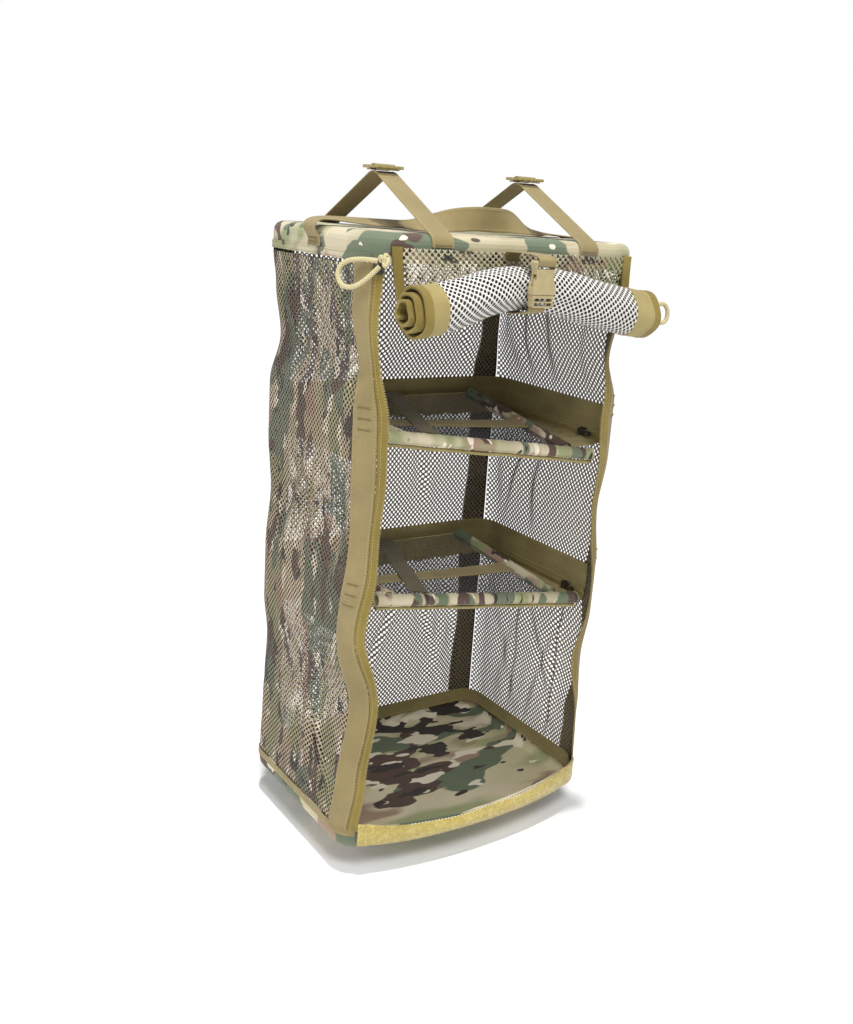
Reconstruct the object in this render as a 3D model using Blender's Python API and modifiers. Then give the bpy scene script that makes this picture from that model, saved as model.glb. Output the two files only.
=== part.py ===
"""Camp storage shelf: a hanging mesh cabinet with two inner shelves and a roll-up door.

Metres, +Z up, -Y the front with the opening, +X to the right as one faces it. The origin is on
the axis of the bar that the two webbing straps hang from, midway between the straps.
Heights named below are measured up from the foot of the mesh walls, and level() turns them
into Z. Distances round the walls are measured from the middle of the back wall, positive
towards the right side and negative towards the left.
"""

import math

import bmesh
import bpy
from mathutils import Matrix, Vector

# Overall size of the mesh cabinet
WIDTH = 0.326
DEPTH = 0.230
WALL_HEIGHT = 0.592
CORNER_RADIUS = 0.028

# Hanging bar and the straps that go over it
BAR_RADIUS = 0.016
BAR_ABOVE_WALLS = 0.0655
STRAP_OFFSET = 0.090
WEBBING = 0.025
WEBBING_THICKNESS = 0.0016

# Moulded roof cap and moulded tray, whose front bows out while its lip dips
CAP_HEIGHT = 0.028
CAP_FILLET = 0.010
TRAY_DEPTH = 0.020
TRAY_RIM = 0.006
TRAY_FILLET = 0.012
FRONT_BOW = 0.013
FRONT_DIP = 0.007
FRONT_STEPS = 6
SHELL = 0.003

# Mesh fabric, bindings and zips
FABRIC = 0.0012
BINDING = 0.008
BINDING_THICKNESS = 0.0010
ZIP_TAPE = 0.011
ZIP_THICKNESS = 0.0022
LOOP_BAND_THICKNESS = 0.0030
LOOP_BAND_BULGE = 0.0040
GAP = 0.0003
ARC_STEPS = 6
CORNER_WEBBING = 0.030
CLOSING_RISE = 0.0165

# Shelves: the band sewn round the walls, the zip under it and the framed floor
UPPER_BAND_TOP = 0.444
LOWER_BAND_TOP = 0.257
BAND_HEIGHT = 0.032
BAND_THICKNESS = 0.0014
CHAIN_HEIGHT = 0.006
CHAIN_THICKNESS = 0.0020
FLOOR_SIDE_CLEARANCE = 0.053
FRONT_BAR_END_CLEARANCE = 0.029
FRONT_BAR_INSET = 0.011
FLOOR_BACK_CLEARANCE = 0.014
FLOOR_HALF_WIDTH = WIDTH / 2 - FLOOR_SIDE_CLEARANCE
FRONT_BAR_HALF_LENGTH = WIDTH / 2 - FRONT_BAR_END_CLEARANCE
FRONT_BAR_Y = -(DEPTH / 2 - FRONT_BAR_INSET)
FLOOR_BACK_Y = DEPTH / 2 - FLOOR_BACK_CLEARANCE
SLEEVE_RADIUS = 0.0068
SLEEVE_WALL = 0.0010
ROD_RADIUS = 0.0050
PIPING_RADIUS = 0.0019
NET_COLUMNS = 10
NET_ROWS = 7
NET_STRAND = 0.0040
NET_THICKNESS = 0.0014
CROSS_STRAP_Y = -0.028
KNEE_INSET = 0.0085
LOAD_STRAP = 0.020
SHELF_SLIDER_INSET = 0.053

# Rolled-up door
ROLL_RADIUS = 0.026
ROLL_CORE = 0.0070
ROLL_TURNS = 3.2
ROLL_STEPS_A_TURN = 12
ROLL_LEFT_CLEARANCE = 0.023
ROLL_RIGHT_CLEARANCE = 0.012
ROLL_LEFT = -(WIDTH / 2 - ROLL_LEFT_CLEARANCE)
ROLL_RIGHT = WIDTH / 2 - ROLL_RIGHT_CLEARANCE
DOOR_TAPE = 0.032
DOOR_EDGE = 0.011
DOOR_PAST_LEFT_CORNER = 0.011
DOOR_PAST_RIGHT_CORNER = 0.013
DOOR_LEFT_TOP = -(WIDTH / 2 - CORNER_RADIUS + DOOR_PAST_LEFT_CORNER)
DOOR_RIGHT_TOP = WIDTH / 2 - CORNER_RADIUS + DOOR_PAST_RIGHT_CORNER
DOOR_TAPE_THICKNESS = 0.0024
DOOR_TOP = 0.6080
ROLL_END_HEIGHT = 0.5525
ROLL_LIFT = 0.0245
ROLL_PINCH = 0.13

# Side-release buckle and its straps
BUCKLE_X = -0.011
BUCKLE_WIDTH = 0.026
BUCKLE_DEPTH = 0.0090
FEMALE_LENGTH = 0.031
MALE_BASE = 0.012
BUCKLE_SEAM = 0.572
BUCKLE_STRAP = 0.020
BUCKLE_CLEARANCE = 0.0004

# Pull cords
CORD_RADIUS = 0.0025

WALLS_Z = -(BAR_ABOVE_WALLS + WALL_HEIGHT)

# Wrap of the wall's front edge round the front corner, by height: the wall hangs slack between shelves
LEFT_REACH = (
    (0.000, 0.031), (0.060, 0.038), (0.145, 0.049), (0.225, 0.029), (0.300, 0.038),
    (0.380, 0.041), (0.440, 0.040), (0.530, 0.025), (0.600, 0.029),
)
RIGHT_REACH = (
    (0.000, 0.018), (0.060, 0.024), (0.150, 0.045), (0.232, 0.028), (0.300, 0.038),
    (0.370, 0.041), (0.435, 0.046), (0.525, 0.032), (0.600, 0.028),
)
# How far the slack wall draws in, by height
WALL_DRAW = (
    (0.000, 0.000), (0.080, 0.003), (0.150, 0.005), (0.205, 0.000), (0.262, 0.000), (0.330, 0.005),
    (0.392, 0.000), (0.450, 0.000), (0.500, 0.011), (0.555, 0.004), (WALL_HEIGHT, 0.000),
)


def level(height):
    """Z of a height above the foot of the mesh walls."""
    return WALLS_Z + height


def eased(table, at):
    """A value read from height and value pairs, smooth between them."""
    if at <= table[0][0]:
        return table[0][1]
    for (low, a), (high, b) in zip(table, table[1:]):
        if at <= high:
            t = (at - low) / (high - low)
            return a + (b - a) * t * t * (3.0 - 2.0 * t)
    return table[-1][1]


def spread(low, high, count):
    """Evenly spaced values from low to high."""
    return [low + (high - low) * i / (count - 1) for i in range(count)]


# Distances along the outline at which one stretch gives way to the next
BACK_END = WIDTH / 2 - CORNER_RADIUS
ARC = CORNER_RADIUS * math.pi / 2
SIDE_START = BACK_END + ARC
SIDE_END = SIDE_START + DEPTH - 2 * CORNER_RADIUS
FRONT_START = SIDE_END + ARC


def outline(distance):
    """Point and outward direction in plan at a distance round the rounded rectangle of the walls."""
    side = -1.0 if distance < 0 else 1.0
    s = abs(distance)
    x_arc = WIDTH / 2 - CORNER_RADIUS
    y_arc = DEPTH / 2 - CORNER_RADIUS
    if s <= BACK_END:
        point, out = (s, DEPTH / 2), (0.0, 1.0)
    elif s <= SIDE_START:
        a = (s - BACK_END) / CORNER_RADIUS
        out = (math.sin(a), math.cos(a))
        point = (x_arc + CORNER_RADIUS * out[0], y_arc + CORNER_RADIUS * out[1])
    elif s <= SIDE_END:
        point, out = (WIDTH / 2, y_arc - (s - SIDE_START)), (1.0, 0.0)
    elif s <= FRONT_START:
        a = (s - SIDE_END) / CORNER_RADIUS
        out = (math.cos(a), -math.sin(a))
        point = (x_arc + CORNER_RADIUS * out[0], -y_arc + CORNER_RADIUS * out[1])
    else:
        point, out = (x_arc - (s - FRONT_START), -DEPTH / 2), (0.0, -1.0)
    return Vector((side * point[0], point[1], 0.0)), Vector((side * out[0], out[1], 0.0))


def outline_columns(start, end):
    """Distances from start to end with a stop at every step of each rounded corner between them."""
    stops = [0.0]
    for side in (-1, 1):
        for corner_start in (BACK_END, SIDE_END):
            stops += [side * (corner_start + ARC * k / ARC_STEPS) for k in range(ARC_STEPS + 1)]
    return [start, *sorted(s for s in stops if start + 0.001 < s < end - 0.001), end]


def slack(height):
    """How far the hanging wall stands out of the outline: it draws in between the shelves."""
    return -eased(WALL_DRAW, height)


def wall_point(distance, height, stand_off=0.0):
    """A point on the hanging wall, or standing off it by some distance."""
    point, out = outline(distance)
    return point + out * (slack(height) + stand_off) + Vector((0, 0, level(height)))


def on_outline(distance, height, stand_off=0.0):
    """A point beside the taut outline, where the cap, the tray and the shelf bands are."""
    point, out = outline(distance)
    return point + out * stand_off + Vector((0, 0, level(height)))


PARTS = bpy.data.collections.new("camp_storage_shelf")
CUTTERS = bpy.data.collections.new("cutters")
MATERIALS = {}


def start_scene():
    """Clears the scene and makes the two collections."""
    for obj in list(bpy.data.objects):
        bpy.data.objects.remove(obj, do_unlink=True)
    bpy.context.scene.collection.children.link(PARTS)
    bpy.context.scene.collection.children.link(CUTTERS)


def finish(name, colour, roughness, metallic=0.0):
    """A Principled material, made once."""
    if name not in MATERIALS:
        made = bpy.data.materials.new(name)
        made.use_nodes = True
        shader = made.node_tree.nodes["Principled BSDF"]
        shader.inputs["Base Color"].default_value = (*colour, 1.0)
        shader.inputs["Roughness"].default_value = roughness
        shader.inputs["Metallic"].default_value = metallic
        made.diffuse_color = (*colour, 1.0)
        MATERIALS[name] = made
    return MATERIALS[name]


def khaki():
    return finish("khaki_webbing", (0.42, 0.33, 0.17), 0.80)


def olive():
    return finish("olive_tape", (0.17, 0.13, 0.05), 0.75)


def gold():
    return finish("gold_tape", (0.45, 0.33, 0.10), 0.80)


def camouflage():
    return finish("camouflage_cloth", (0.36, 0.31, 0.20), 0.70)


def mesh_cloth():
    return finish("mesh_cloth", (0.45, 0.40, 0.32), 0.75)


def moulded():
    return finish("khaki_plastic", (0.40, 0.33, 0.17), 0.45)


def metal():
    return finish("dark_metal", (0.10, 0.09, 0.07), 0.40, 0.8)


def place(name, bm, material, smooth=True):
    """Turns a bmesh into a named object of the part."""
    mesh = bpy.data.meshes.new(name)
    bm.to_mesh(mesh)
    bm.free()
    obj = bpy.data.objects.new(name, mesh)
    PARTS.objects.link(obj)
    mesh.materials.append(material)
    if smooth:
        mesh.shade_smooth()
        mesh.set_sharp_from_angle(angle=math.radians(40))
    return obj


def thicken(obj, thickness, offset=0.0):
    """Gives an open surface its wall."""
    wall = obj.modifiers.new("wall", "SOLIDIFY")
    wall.thickness = thickness
    wall.offset = offset
    return obj


def grid(rows):
    """A bmesh surface through rows of points."""
    bm = bmesh.new()
    made = [[bm.verts.new(p) for p in row] for row in rows]
    for a, b in zip(made, made[1:]):
        for i in range(len(a) - 1):
            bm.faces.new((a[i], a[i + 1], b[i + 1], b[i]))
    return bm


def sheet(name, rows, thickness, material):
    """A cloth or tape panel through rows of points, centred on them."""
    return thicken(place(name, grid(rows), material), thickness)


def ribbon(name, centres, across, width, thickness, material):
    """Webbing along a line of centres, each with its own across direction."""
    rows = [
        [c - a.normalized() * width / 2, c + a.normalized() * width / 2]
        for c, a in zip(centres, across)
    ]
    return sheet(name, rows, thickness, material)


def wall_panel(name, columns, heights, stand_off, thickness, material):
    """Cloth or tape that hangs with the walls, its columns of distances given for each height."""
    rows = [[wall_point(s, h, stand_off) for s in columns(h)] for h in heights]
    return sheet(name, rows, thickness, material)


def tube(name, points, radius, material, resolution=2):
    """A round rod, piping or cord along points."""
    curve = bpy.data.curves.new(name, "CURVE")
    curve.dimensions = "3D"
    curve.bevel_depth = radius
    curve.bevel_resolution = resolution
    curve.use_fill_caps = True
    curve.materials.append(material)
    spline = curve.splines.new("POLY")
    spline.points.add(len(points) - 1)
    for target, p in zip(spline.points, points):
        target.co = (*p, 1.0)
    obj = bpy.data.objects.new(name, curve)
    PARTS.objects.link(obj)
    return obj


def smooth_path(points, steps):
    """Points along a Catmull-Rom curve through a route's own points."""
    ends = [points[0] * 2 - points[1], *points, points[-1] * 2 - points[-2]]
    path = []
    for i in range(1, len(ends) - 2):
        a, b, c, d = ends[i - 1 : i + 3]
        for k in range(steps):
            t = k / steps
            path.append(
                0.5 * ((2 * b) + (c - a) * t + (2 * a - 5 * b + 4 * c - d) * t**2
                       + (3 * b - a - 3 * c + d) * t**3)
            )
    path.append(points[-1].copy())
    return path


def box_mesh(low, high):
    """A bmesh box between two corners."""
    bm = bmesh.new()
    bmesh.ops.create_cube(bm, size=1.0)
    size = Vector(high) - Vector(low)
    middle = (Vector(high) + Vector(low)) / 2
    bmesh.ops.scale(bm, vec=size, verts=bm.verts)
    bmesh.ops.translate(bm, vec=middle, verts=bm.verts)
    return bm


def cut_or_join(target, bm, operation):
    """Applies a closed shape to a piece with an exact Boolean; the shape stays as a hidden helper."""
    mesh = bpy.data.meshes.new(target.name + "_helper")
    bm.to_mesh(mesh)
    bm.free()
    helper = bpy.data.objects.new(target.name + "_helper", mesh)
    CUTTERS.objects.link(helper)
    helper.hide_render = True
    helper.display_type = "WIRE"
    boolean = target.modifiers.new(operation.lower(), "BOOLEAN")
    boolean.operation = operation
    boolean.object = helper
    return helper


def plate_mesh(points, thickness):
    """A flat outline in the XZ plane, given thickness along Y and centred on it."""
    bm = bmesh.new()
    face = bm.faces.new([bm.verts.new((x, -thickness / 2, z)) for x, z in points])
    made = bmesh.ops.extrude_face_region(bm, geom=[face])
    moved = [v for v in made["geom"] if isinstance(v, bmesh.types.BMVert)]
    bmesh.ops.translate(bm, vec=(0, thickness, 0), verts=moved)
    bmesh.ops.recalc_face_normals(bm, faces=bm.faces)
    return bm


def crown(x):
    """Share of the front's bow at a place along it: all in the middle, nothing from the corners on."""
    return max(0.0, 1 - (x / (WIDTH / 2 - CORNER_RADIUS)) ** 2)


def pan_rings(levels, bow=0.0, dip=0.0):
    """Closed rings of a rounded rectangle, one for each pair of inset and height.

    Its front bows out by bow, and the ring of the rim dips by dip there.
    """
    rings = []
    for inset, height in levels:
        radius = max(CORNER_RADIUS + FABRIC / 2 - inset, 0.004)
        half = (WIDTH / 2 + FABRIC / 2 - inset, DEPTH / 2 + FABRIC / 2 - inset)
        ring = []
        for quarter in range(4):
            sx = 1 if quarter in (0, 3) else -1
            sy = 1 if quarter in (0, 1) else -1
            for k in range(ARC_STEPS + 1):
                a = math.pi / 2 * (quarter + k / ARC_STEPS)
                x = sx * (half[0] - radius) + radius * math.cos(a)
                y = sy * (half[1] - radius) + radius * math.sin(a)
                ring.append(Vector((x, y, level(height))))
            if quarter == 2:
                end = half[0] - radius
                drop = dip if height > 0.0 else 0.0
                for x in spread(-end, end, 2 * FRONT_STEPS + 1)[1:-1]:
                    ring.append(Vector((x, -half[1] - bow * crown(x), level(height) - drop * crown(x))))
        rings.append(ring)
    return rings


def moulded_pan(levels, bow=0.0, dip=0.0):
    """A moulded shell through rings, from its rim to its flat face."""
    bm = bmesh.new()
    rings = [[bm.verts.new(p) for p in ring] for ring in pan_rings(levels, bow, dip)]
    for low, high in zip(rings, rings[1:]):
        for i in range(len(low)):
            j = (i + 1) % len(low)
            bm.faces.new((low[i], low[j], high[j], high[i]))
    bm.faces.new(rings[-1])
    bmesh.ops.recalc_face_normals(bm, faces=bm.faces)
    return bm


def roof_cap():
    """Moulded roof, open below, with a rounded top edge; the walls are sewn to its rim."""
    rim = WALL_HEIGHT + GAP
    top = WALL_HEIGHT + CAP_HEIGHT
    levels = [(0.0, rim), (0.0, top - CAP_FILLET)]
    for k in range(1, 5):
        a = math.pi / 2 * k / 4
        levels.append((CAP_FILLET * (1 - math.cos(a)), top - CAP_FILLET * (1 - math.sin(a))))
    bm = moulded_pan(levels)
    if sum(f.normal.z * f.calc_area() for f in bm.faces) < 0:
        bmesh.ops.reverse_faces(bm, faces=bm.faces)
    thicken(place("roof_cap", bm, camouflage()), SHELL, -1.0)


def bottom_tray():
    """Moulded tray that carries the bottom compartment's floor."""
    rim = TRAY_RIM
    bottom = -TRAY_DEPTH
    levels = [(0.0, rim), (0.0, bottom + TRAY_FILLET)]
    for k in range(1, 5):
        a = math.pi / 2 * k / 4
        levels.append((TRAY_FILLET * (1 - math.cos(a)), bottom + TRAY_FILLET * (1 - math.sin(a))))
    bm = moulded_pan(levels, FRONT_BOW, FRONT_DIP)
    if sum(f.normal.z * f.calc_area() for f in bm.faces) > 0:
        bmesh.ops.reverse_faces(bm, faces=bm.faces)
    thicken(place("bottom_tray", bm, camouflage()), SHELL, -1.0)


def bindings():
    """Binding tape over the seams of the cap and the tray, and the fuzzy closing band at the front."""
    out = FABRIC / 2 + GAP + BINDING_THICKNESS / 2
    reach = SIDE_END + 0.016
    ring = outline_columns(-reach, reach)
    for name, low in (("cap_binding", WALL_HEIGHT + GAP), ("tray_binding", TRAY_RIM - BINDING)):
        rows = [[on_outline(s, h, out) for s in ring] for h in (low, low + BINDING)]
        sheet(name, rows, BINDING_THICKNESS, khaki())
    out = FABRIC / 2 + GAP + LOOP_BAND_THICKNESS / 2
    end = SIDE_END + 0.0225
    total = FRONT_START + BACK_END
    half = [*spread(end, FRONT_START, 7), *spread(FRONT_START, total, FRONT_STEPS + 1)[1:]]
    band = [(-s, s) for s in half] + [(s, s) for s in reversed(half[:-1])]
    rows = []
    for t in spread(0.0, 1.0, 5):
        row = []
        for s, away in band:
            x = (total - away) / (total - end)
            high = TRAY_RIM + (CLOSING_RISE - GAP * 4 - TRAY_RIM) * x**4
            low = -TRAY_DEPTH + TRAY_FILLET * 0.25 + 0.007 * x**4
            bulge = LOOP_BAND_BULGE * math.sin(math.pi * t) * (1 - x**4)
            p = on_outline(s, low + (high - low) * t, out + bulge)
            share = crown(p.x)
            row.append(p - Vector((0.0, FRONT_BOW * share, FRONT_DIP * share * t)))
        rows.append(row)
    sheet("loop_band", rows, LOOP_BAND_THICKNESS, gold())


def panel_heights(low):
    """Heights of the hanging cloth's rows, from a lowest one up to the cap."""
    stops = [h for h, _ in WALL_DRAW]
    between = [(a + b) / 2 for a, b in zip(stops, stops[1:])]
    return [low, *sorted(h for h in (*stops, *between) if low + 0.010 < h)]


def walls():
    """Three mesh panels, the four corner webbings and the opening's two half zips."""
    corner = (BACK_END + SIDE_START) / 2
    heights = panel_heights(TRAY_RIM + GAP)
    back = outline_columns(-corner + GAP / 2, corner - GAP / 2)
    wall_panel("wall_back", lambda h: back, heights, 0.0, FABRIC, mesh_cloth())
    flat = outline_columns(corner + GAP / 2, SIDE_END - 0.022)
    outside = FABRIC / 2 + GAP + WEBBING_THICKNESS / 2
    zip_outside = FABRIC / 2 + GAP + ZIP_THICKNESS / 2
    zip_heights = panel_heights(CLOSING_RISE)
    for side, name, reach in ((-1, "left", LEFT_REACH), (1, "right", RIGHT_REACH)):
        def webbing(h, reach=reach, side=side):
            end = SIDE_END + eased(reach, h) - ZIP_TAPE - GAP * 4
            return [side * s for s in spread(end - WEBBING, end, 4)]

        def zip_tape(h, reach=reach, side=side):
            end = SIDE_END + eased(reach, h)
            return [side * s for s in spread(end - ZIP_TAPE, end, 3)]

        def panel(h, webbing=webbing, zip_tape=zip_tape, side=side):
            return [*(side * s for s in flat), *webbing(h), *zip_tape(h)]

        def back_webbing(h, side=side):
            return [side * s for s in outline_columns(corner - CORNER_WEBBING, corner - GAP)]

        wall_panel(f"wall_{name}", panel, heights, 0.0, FABRIC, mesh_cloth())
        wall_panel(f"corner_webbing_front_{name}", webbing, heights, outside, WEBBING_THICKNESS, khaki())
        wall_panel(f"corner_webbing_back_{name}", back_webbing, heights, outside, WEBBING_THICKNESS, khaki())
        wall_panel(f"opening_zip_{name}", zip_tape, zip_heights, zip_outside, ZIP_THICKNESS, gold())


def belt_path(x, circles, foot):
    """The line of a strap that goes up a face, round convex circles in turn and down the other face."""
    (y1, z1, r1), (y2, z2, r2) = circles
    run = math.atan2(z2 - z1, y2 - y1) + math.asin((r2 - r1) / math.hypot(y2 - y1, z2 - z1))
    half = [Vector((x, y1 - r1, foot))]
    for k in range(6):
        a = math.pi + (math.pi / 2 + run - math.pi) * k / 5
        half.append(Vector((x, y1 + r1 * math.cos(a), z1 + r1 * math.sin(a))))
    for k in range(4):
        a = math.pi / 2 + run * (1 - k / 4)
        half.append(Vector((x, y2 + r2 * math.cos(a), z2 + r2 * math.sin(a))))
    top = Vector((x, y2, z2 + r2))
    other = [Vector((p.x, -p.y, p.z)) for p in reversed(half)]
    return [*half, top, *other], run


def strap_circles():
    """Where the strap bends: round the cap's edge and over the bar, as centre and radius in YZ."""
    stand_off = GAP + WEBBING_THICKNESS / 2
    cap = (
        -(DEPTH / 2 + FABRIC / 2 - CAP_FILLET),
        level(WALL_HEIGHT + CAP_HEIGHT - CAP_FILLET),
        CAP_FILLET + stand_off,
    )
    bar = (0.0, 0.0, BAR_RADIUS + stand_off)
    return cap, bar


STRAP_END_THICKNESS = 0.0013
ADJUSTER_LENGTH = 0.026
ADJUSTER_SIDE_BAR = 0.004
ADJUSTER_WIDTH = WEBBING + 2 * ADJUSTER_SIDE_BAR
ADJUSTER_THICKNESS = 0.0030
ADJUSTER_BAR = 0.0055


def adjuster_frame(x):
    """Matrix of a slide adjuster lying on top of the bar, over the strap and the strap's own end."""
    reach = BAR_RADIUS + GAP + WEBBING_THICKNESS + GAP + STRAP_END_THICKNESS + GAP * 2
    return Matrix.Translation((x, 0.0, reach + ADJUSTER_THICKNESS / 2))


def hanging_straps():
    """Two webbing straps over the bar, each with its end looped through a three-bar slide on top."""
    circles = strap_circles()
    foot = level(DOOR_TOP + 2 * GAP)
    for side, name in ((-1, "left"), (1, "right")):
        x = side * STRAP_OFFSET
        path, _ = belt_path(x, circles, foot)
        across = [Vector((1, 0, 0))] * len(path)
        ribbon(f"hanging_strap_{name}", path, across, WEBBING, WEBBING_THICKNESS, khaki())
        frame = adjuster_frame(x)
        half = (ADJUSTER_WIDTH / 2, ADJUSTER_LENGTH / 2, ADJUSTER_THICKNESS / 2)
        slide = place(f"adjuster_{name}", box_mesh([-h for h in half], half), moulded(), False)
        slide.matrix_world = frame
        slot = (ADJUSTER_LENGTH - 3 * ADJUSTER_BAR) / 2
        for sign in (-1, 1):
            middle = sign * (ADJUSTER_BAR + slot) / 2
            hole = box_mesh(
                (-WEBBING / 2 - 0.001, middle - slot / 2, -ADJUSTER_THICKNESS),
                (WEBBING / 2 + 0.001, middle + slot / 2, ADJUSTER_THICKNESS),
            )
            helper = cut_or_join(slide, hole, "DIFFERENCE")
            helper.matrix_world = frame
        edge = slide.modifiers.new("edge", "BEVEL")
        edge.width = 0.0006
        edge.segments = 1
        edge.limit_method = "ANGLE"
        rise = ADJUSTER_THICKNESS / 2 + GAP + STRAP_END_THICKNESS / 2
        mid = (ADJUSTER_BAR + slot) / 2
        half_line = [
            (ADJUSTER_BAR / 2 + 0.0003, rise), (mid, 0.0), (mid + 0.0014, -rise),
            (ADJUSTER_LENGTH * 0.46, -rise),
        ]
        local = [(-y, z) for y, z in reversed(half_line)] + half_line
        line = [frame @ Vector((0.0, y, z)) for y, z in local]
        ribbon(f"strap_end_{name}", line, [Vector((1, 0, 0))] * len(line), WEBBING,
               STRAP_END_THICKNESS, khaki())


# Width of the webbing that the handle's route is drawn for; wider webbing lifts it where it tilts
HANDLE_ROUTE_WEBBING = 0.025


def carry_handle():
    """Webbing handle sewn to both ends of the cap; it runs under the bar and twists up before it."""
    face = WIDTH / 2 + FABRIC / 2 + GAP + WEBBING_THICKNESS / 2
    top = WALL_HEIGHT + CAP_HEIGHT
    foot = WALL_HEIGHT + BINDING + 2 * GAP
    end = WIDTH / 2
    # Along X, across Y, height above the cap's top, and tilt of the webbing in degrees
    route = [
        (-face, 0.000, foot - top, 0), (-face, 0.000, -0.012, 0), (-end - 0.0075, 0.000, -0.002, 0),
        (-end - 0.0030, 0.000, 0.0050, 0), (-end + 0.0110, -0.001, 0.0070, 5), (-end + 0.0320, -0.003, 0.0065, 10),
        (-0.1000, -0.007, 0.0056, 14), (-0.0690, -0.015, 0.0054, 16), (-0.0545, -0.021, 0.0065, 26),
        (-0.0400, -0.0265, 0.0090, 42), (-0.0150, -0.028, 0.0130, 66), (0.0100, -0.029, 0.0150, 82),
        (0.0300, -0.029, 0.0150, 88), (0.0500, -0.028, 0.0145, 74), (0.0680, -0.026, 0.0115, 48),
        (0.0840, -0.0215, 0.0080, 26), (0.1000, -0.013, 0.0055, 12), (end - 0.0430, -0.006, 0.0040, 4),
        (end - 0.0230, -0.001, 0.0022, 0),
    ]
    bend = CAP_FILLET + GAP * 2 + WEBBING_THICKNESS / 2
    for k in range(5):
        a = math.pi / 2 * (1 - k / 4)
        route.append((face + GAP - bend + bend * math.cos(a), 0.0, -CAP_FILLET + bend * math.sin(a), 0))
    route.append((face + GAP, 0.000, foot - top, 0))
    wider = (WEBBING - HANDLE_ROUTE_WEBBING) / 2
    centres = []
    for x, y, up, tilt in route:
        centres.append(Vector((x, y, level(top + up + wider * math.sin(math.radians(tilt))))))
    across = []
    for *_, tilt in route:
        a = math.radians(tilt)
        across.append(Vector((0.0, math.cos(a), math.sin(a))))
    ribbon("carry_handle", centres, across, WEBBING, WEBBING_THICKNESS, khaki())


def roll_centre(x):
    """Middle of the door roll at a place along it: its buckled middle is pulled up and pinched."""
    end = ROLL_LEFT if x < BUCKLE_X else ROLL_RIGHT
    t = min(1.0, (x - BUCKLE_X) / (end - BUCKLE_X))
    lift = ROLL_LIFT * (0.5 + 0.5 * math.cos(math.pi * t))
    pinch = 1 - ROLL_PINCH * math.exp(-((x - BUCKLE_X) / 0.045) ** 2)
    radius = ROLL_RADIUS * pinch
    hang = DEPTH / 2 + FABRIC / 2 + GAP + DOOR_TAPE_THICKNESS / 2
    return Vector((x, -hang - radius, level(ROLL_END_HEIGHT + lift))), radius


def door_section(x):
    """The door's cloth at one place along it: down from the cap, then wound outwards and inwards."""
    centre, radius = roll_centre(x)
    start = Vector((x, -(DEPTH / 2 + FABRIC / 2 + GAP + DOOR_TAPE_THICKNESS / 2), level(DOOR_TOP)))
    section = [start.lerp(Vector((x, centre.y + radius, centre.z)), k / 3) for k in range(3)]
    steps = int(ROLL_STEPS_A_TURN * ROLL_TURNS)
    core = ROLL_CORE * radius / ROLL_RADIUS
    for k in range(steps + 1):
        t = k / steps
        a = -2 * math.pi * ROLL_TURNS * t
        r = radius + (core - radius) * t
        section.append(centre + Vector((0.0, r * math.cos(a), r * math.sin(a))))
    return section


def least_roll_gap():
    """Least gap between two turns of the rolled door's tape, in millimetres."""
    pitch = (ROLL_RADIUS - ROLL_CORE) / ROLL_TURNS * (1 - ROLL_PINCH)
    return 1000 * (pitch - DOOR_TAPE_THICKNESS)


def rolled_door():
    """The mesh door rolled up under the cap; its edge tapes widen to broad bands in the roll."""
    steps = len(door_section(0.0))

    def edge(k, top, rolled):
        """Place of a lengthwise line at one step of the section, eased from hanging to rolled."""
        t = min(1.0, k / 8)
        return top + (rolled - top) * t * t * (3 - 2 * t)

    left = [edge(k, DOOR_LEFT_TOP, ROLL_LEFT) for k in range(steps)]
    left_seam = [edge(k, DOOR_LEFT_TOP + DOOR_EDGE, ROLL_LEFT + DOOR_TAPE) for k in range(steps)]
    right_seam = [edge(k, DOOR_RIGHT_TOP - DOOR_EDGE, ROLL_RIGHT - DOOR_TAPE) for k in range(steps)]
    right = [edge(k, DOOR_RIGHT_TOP, ROLL_RIGHT) for k in range(steps)]
    middle = (0.20, 0.40, 0.62, 0.76, 0.88)
    spans = (
        ("door_tape_left", left, left_seam, -GAP, (0.5,), DOOR_TAPE_THICKNESS, gold()),
        ("door_mesh", left_seam, right_seam, 0.0, middle, FABRIC, mesh_cloth()),
        ("door_tape_right", right_seam, right, GAP, (0.5,), DOOR_TAPE_THICKNESS, gold()),
    )
    near = (BUCKLE_X - 0.013, BUCKLE_X, BUCKLE_X + 0.013)
    for name, low, high, shift, inner, thickness, material in spans:
        rows = []
        for k in range(steps):
            a, b = low[k] + max(shift, 0.0), high[k] + min(shift, 0.0)
            if name == "door_mesh":
                places = [a, a + (near[0] - a) / 3, a + (near[0] - a) * 2 / 3, *near]
                places += [near[2] + (b - near[2]) * t for t in (0.25, 0.5, 0.75)] + [b]
            else:
                places = [a, (a + b) / 2, b]
            rows.append([door_section(x)[k] for x in places])
        sheet(name, rows, thickness, material)
    print(f"least gap between the door roll's turns: {least_roll_gap():.2f} mm")


def buckle_y():
    """The buckle lies on the front of the pinched roll."""
    centre, radius = roll_centre(BUCKLE_X)
    return centre.y - radius - DOOR_TAPE_THICKNESS / 2 - 0.001 - BUCKLE_DEPTH / 2


def female_outline():
    """Waisted outline of the socket half, from its mouth up."""
    half = BUCKLE_WIDTH / 2
    waist = half - 0.0028
    return [
        (-half, 0.0), (half, 0.0), (half, 0.006), (half - 0.0008, 0.010), (waist, 0.014),
        (waist, 0.021), (half - 0.0012, 0.026), (half - 0.0006, FEMALE_LENGTH - 0.0015),
        (half - 0.0021, FEMALE_LENGTH), (-half + 0.0021, FEMALE_LENGTH),
        (-half + 0.0006, FEMALE_LENGTH - 0.0015), (-half + 0.0012, 0.026), (-waist, 0.021),
        (-waist, 0.014), (-half + 0.0008, 0.010), (-half, 0.006),
    ]


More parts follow.
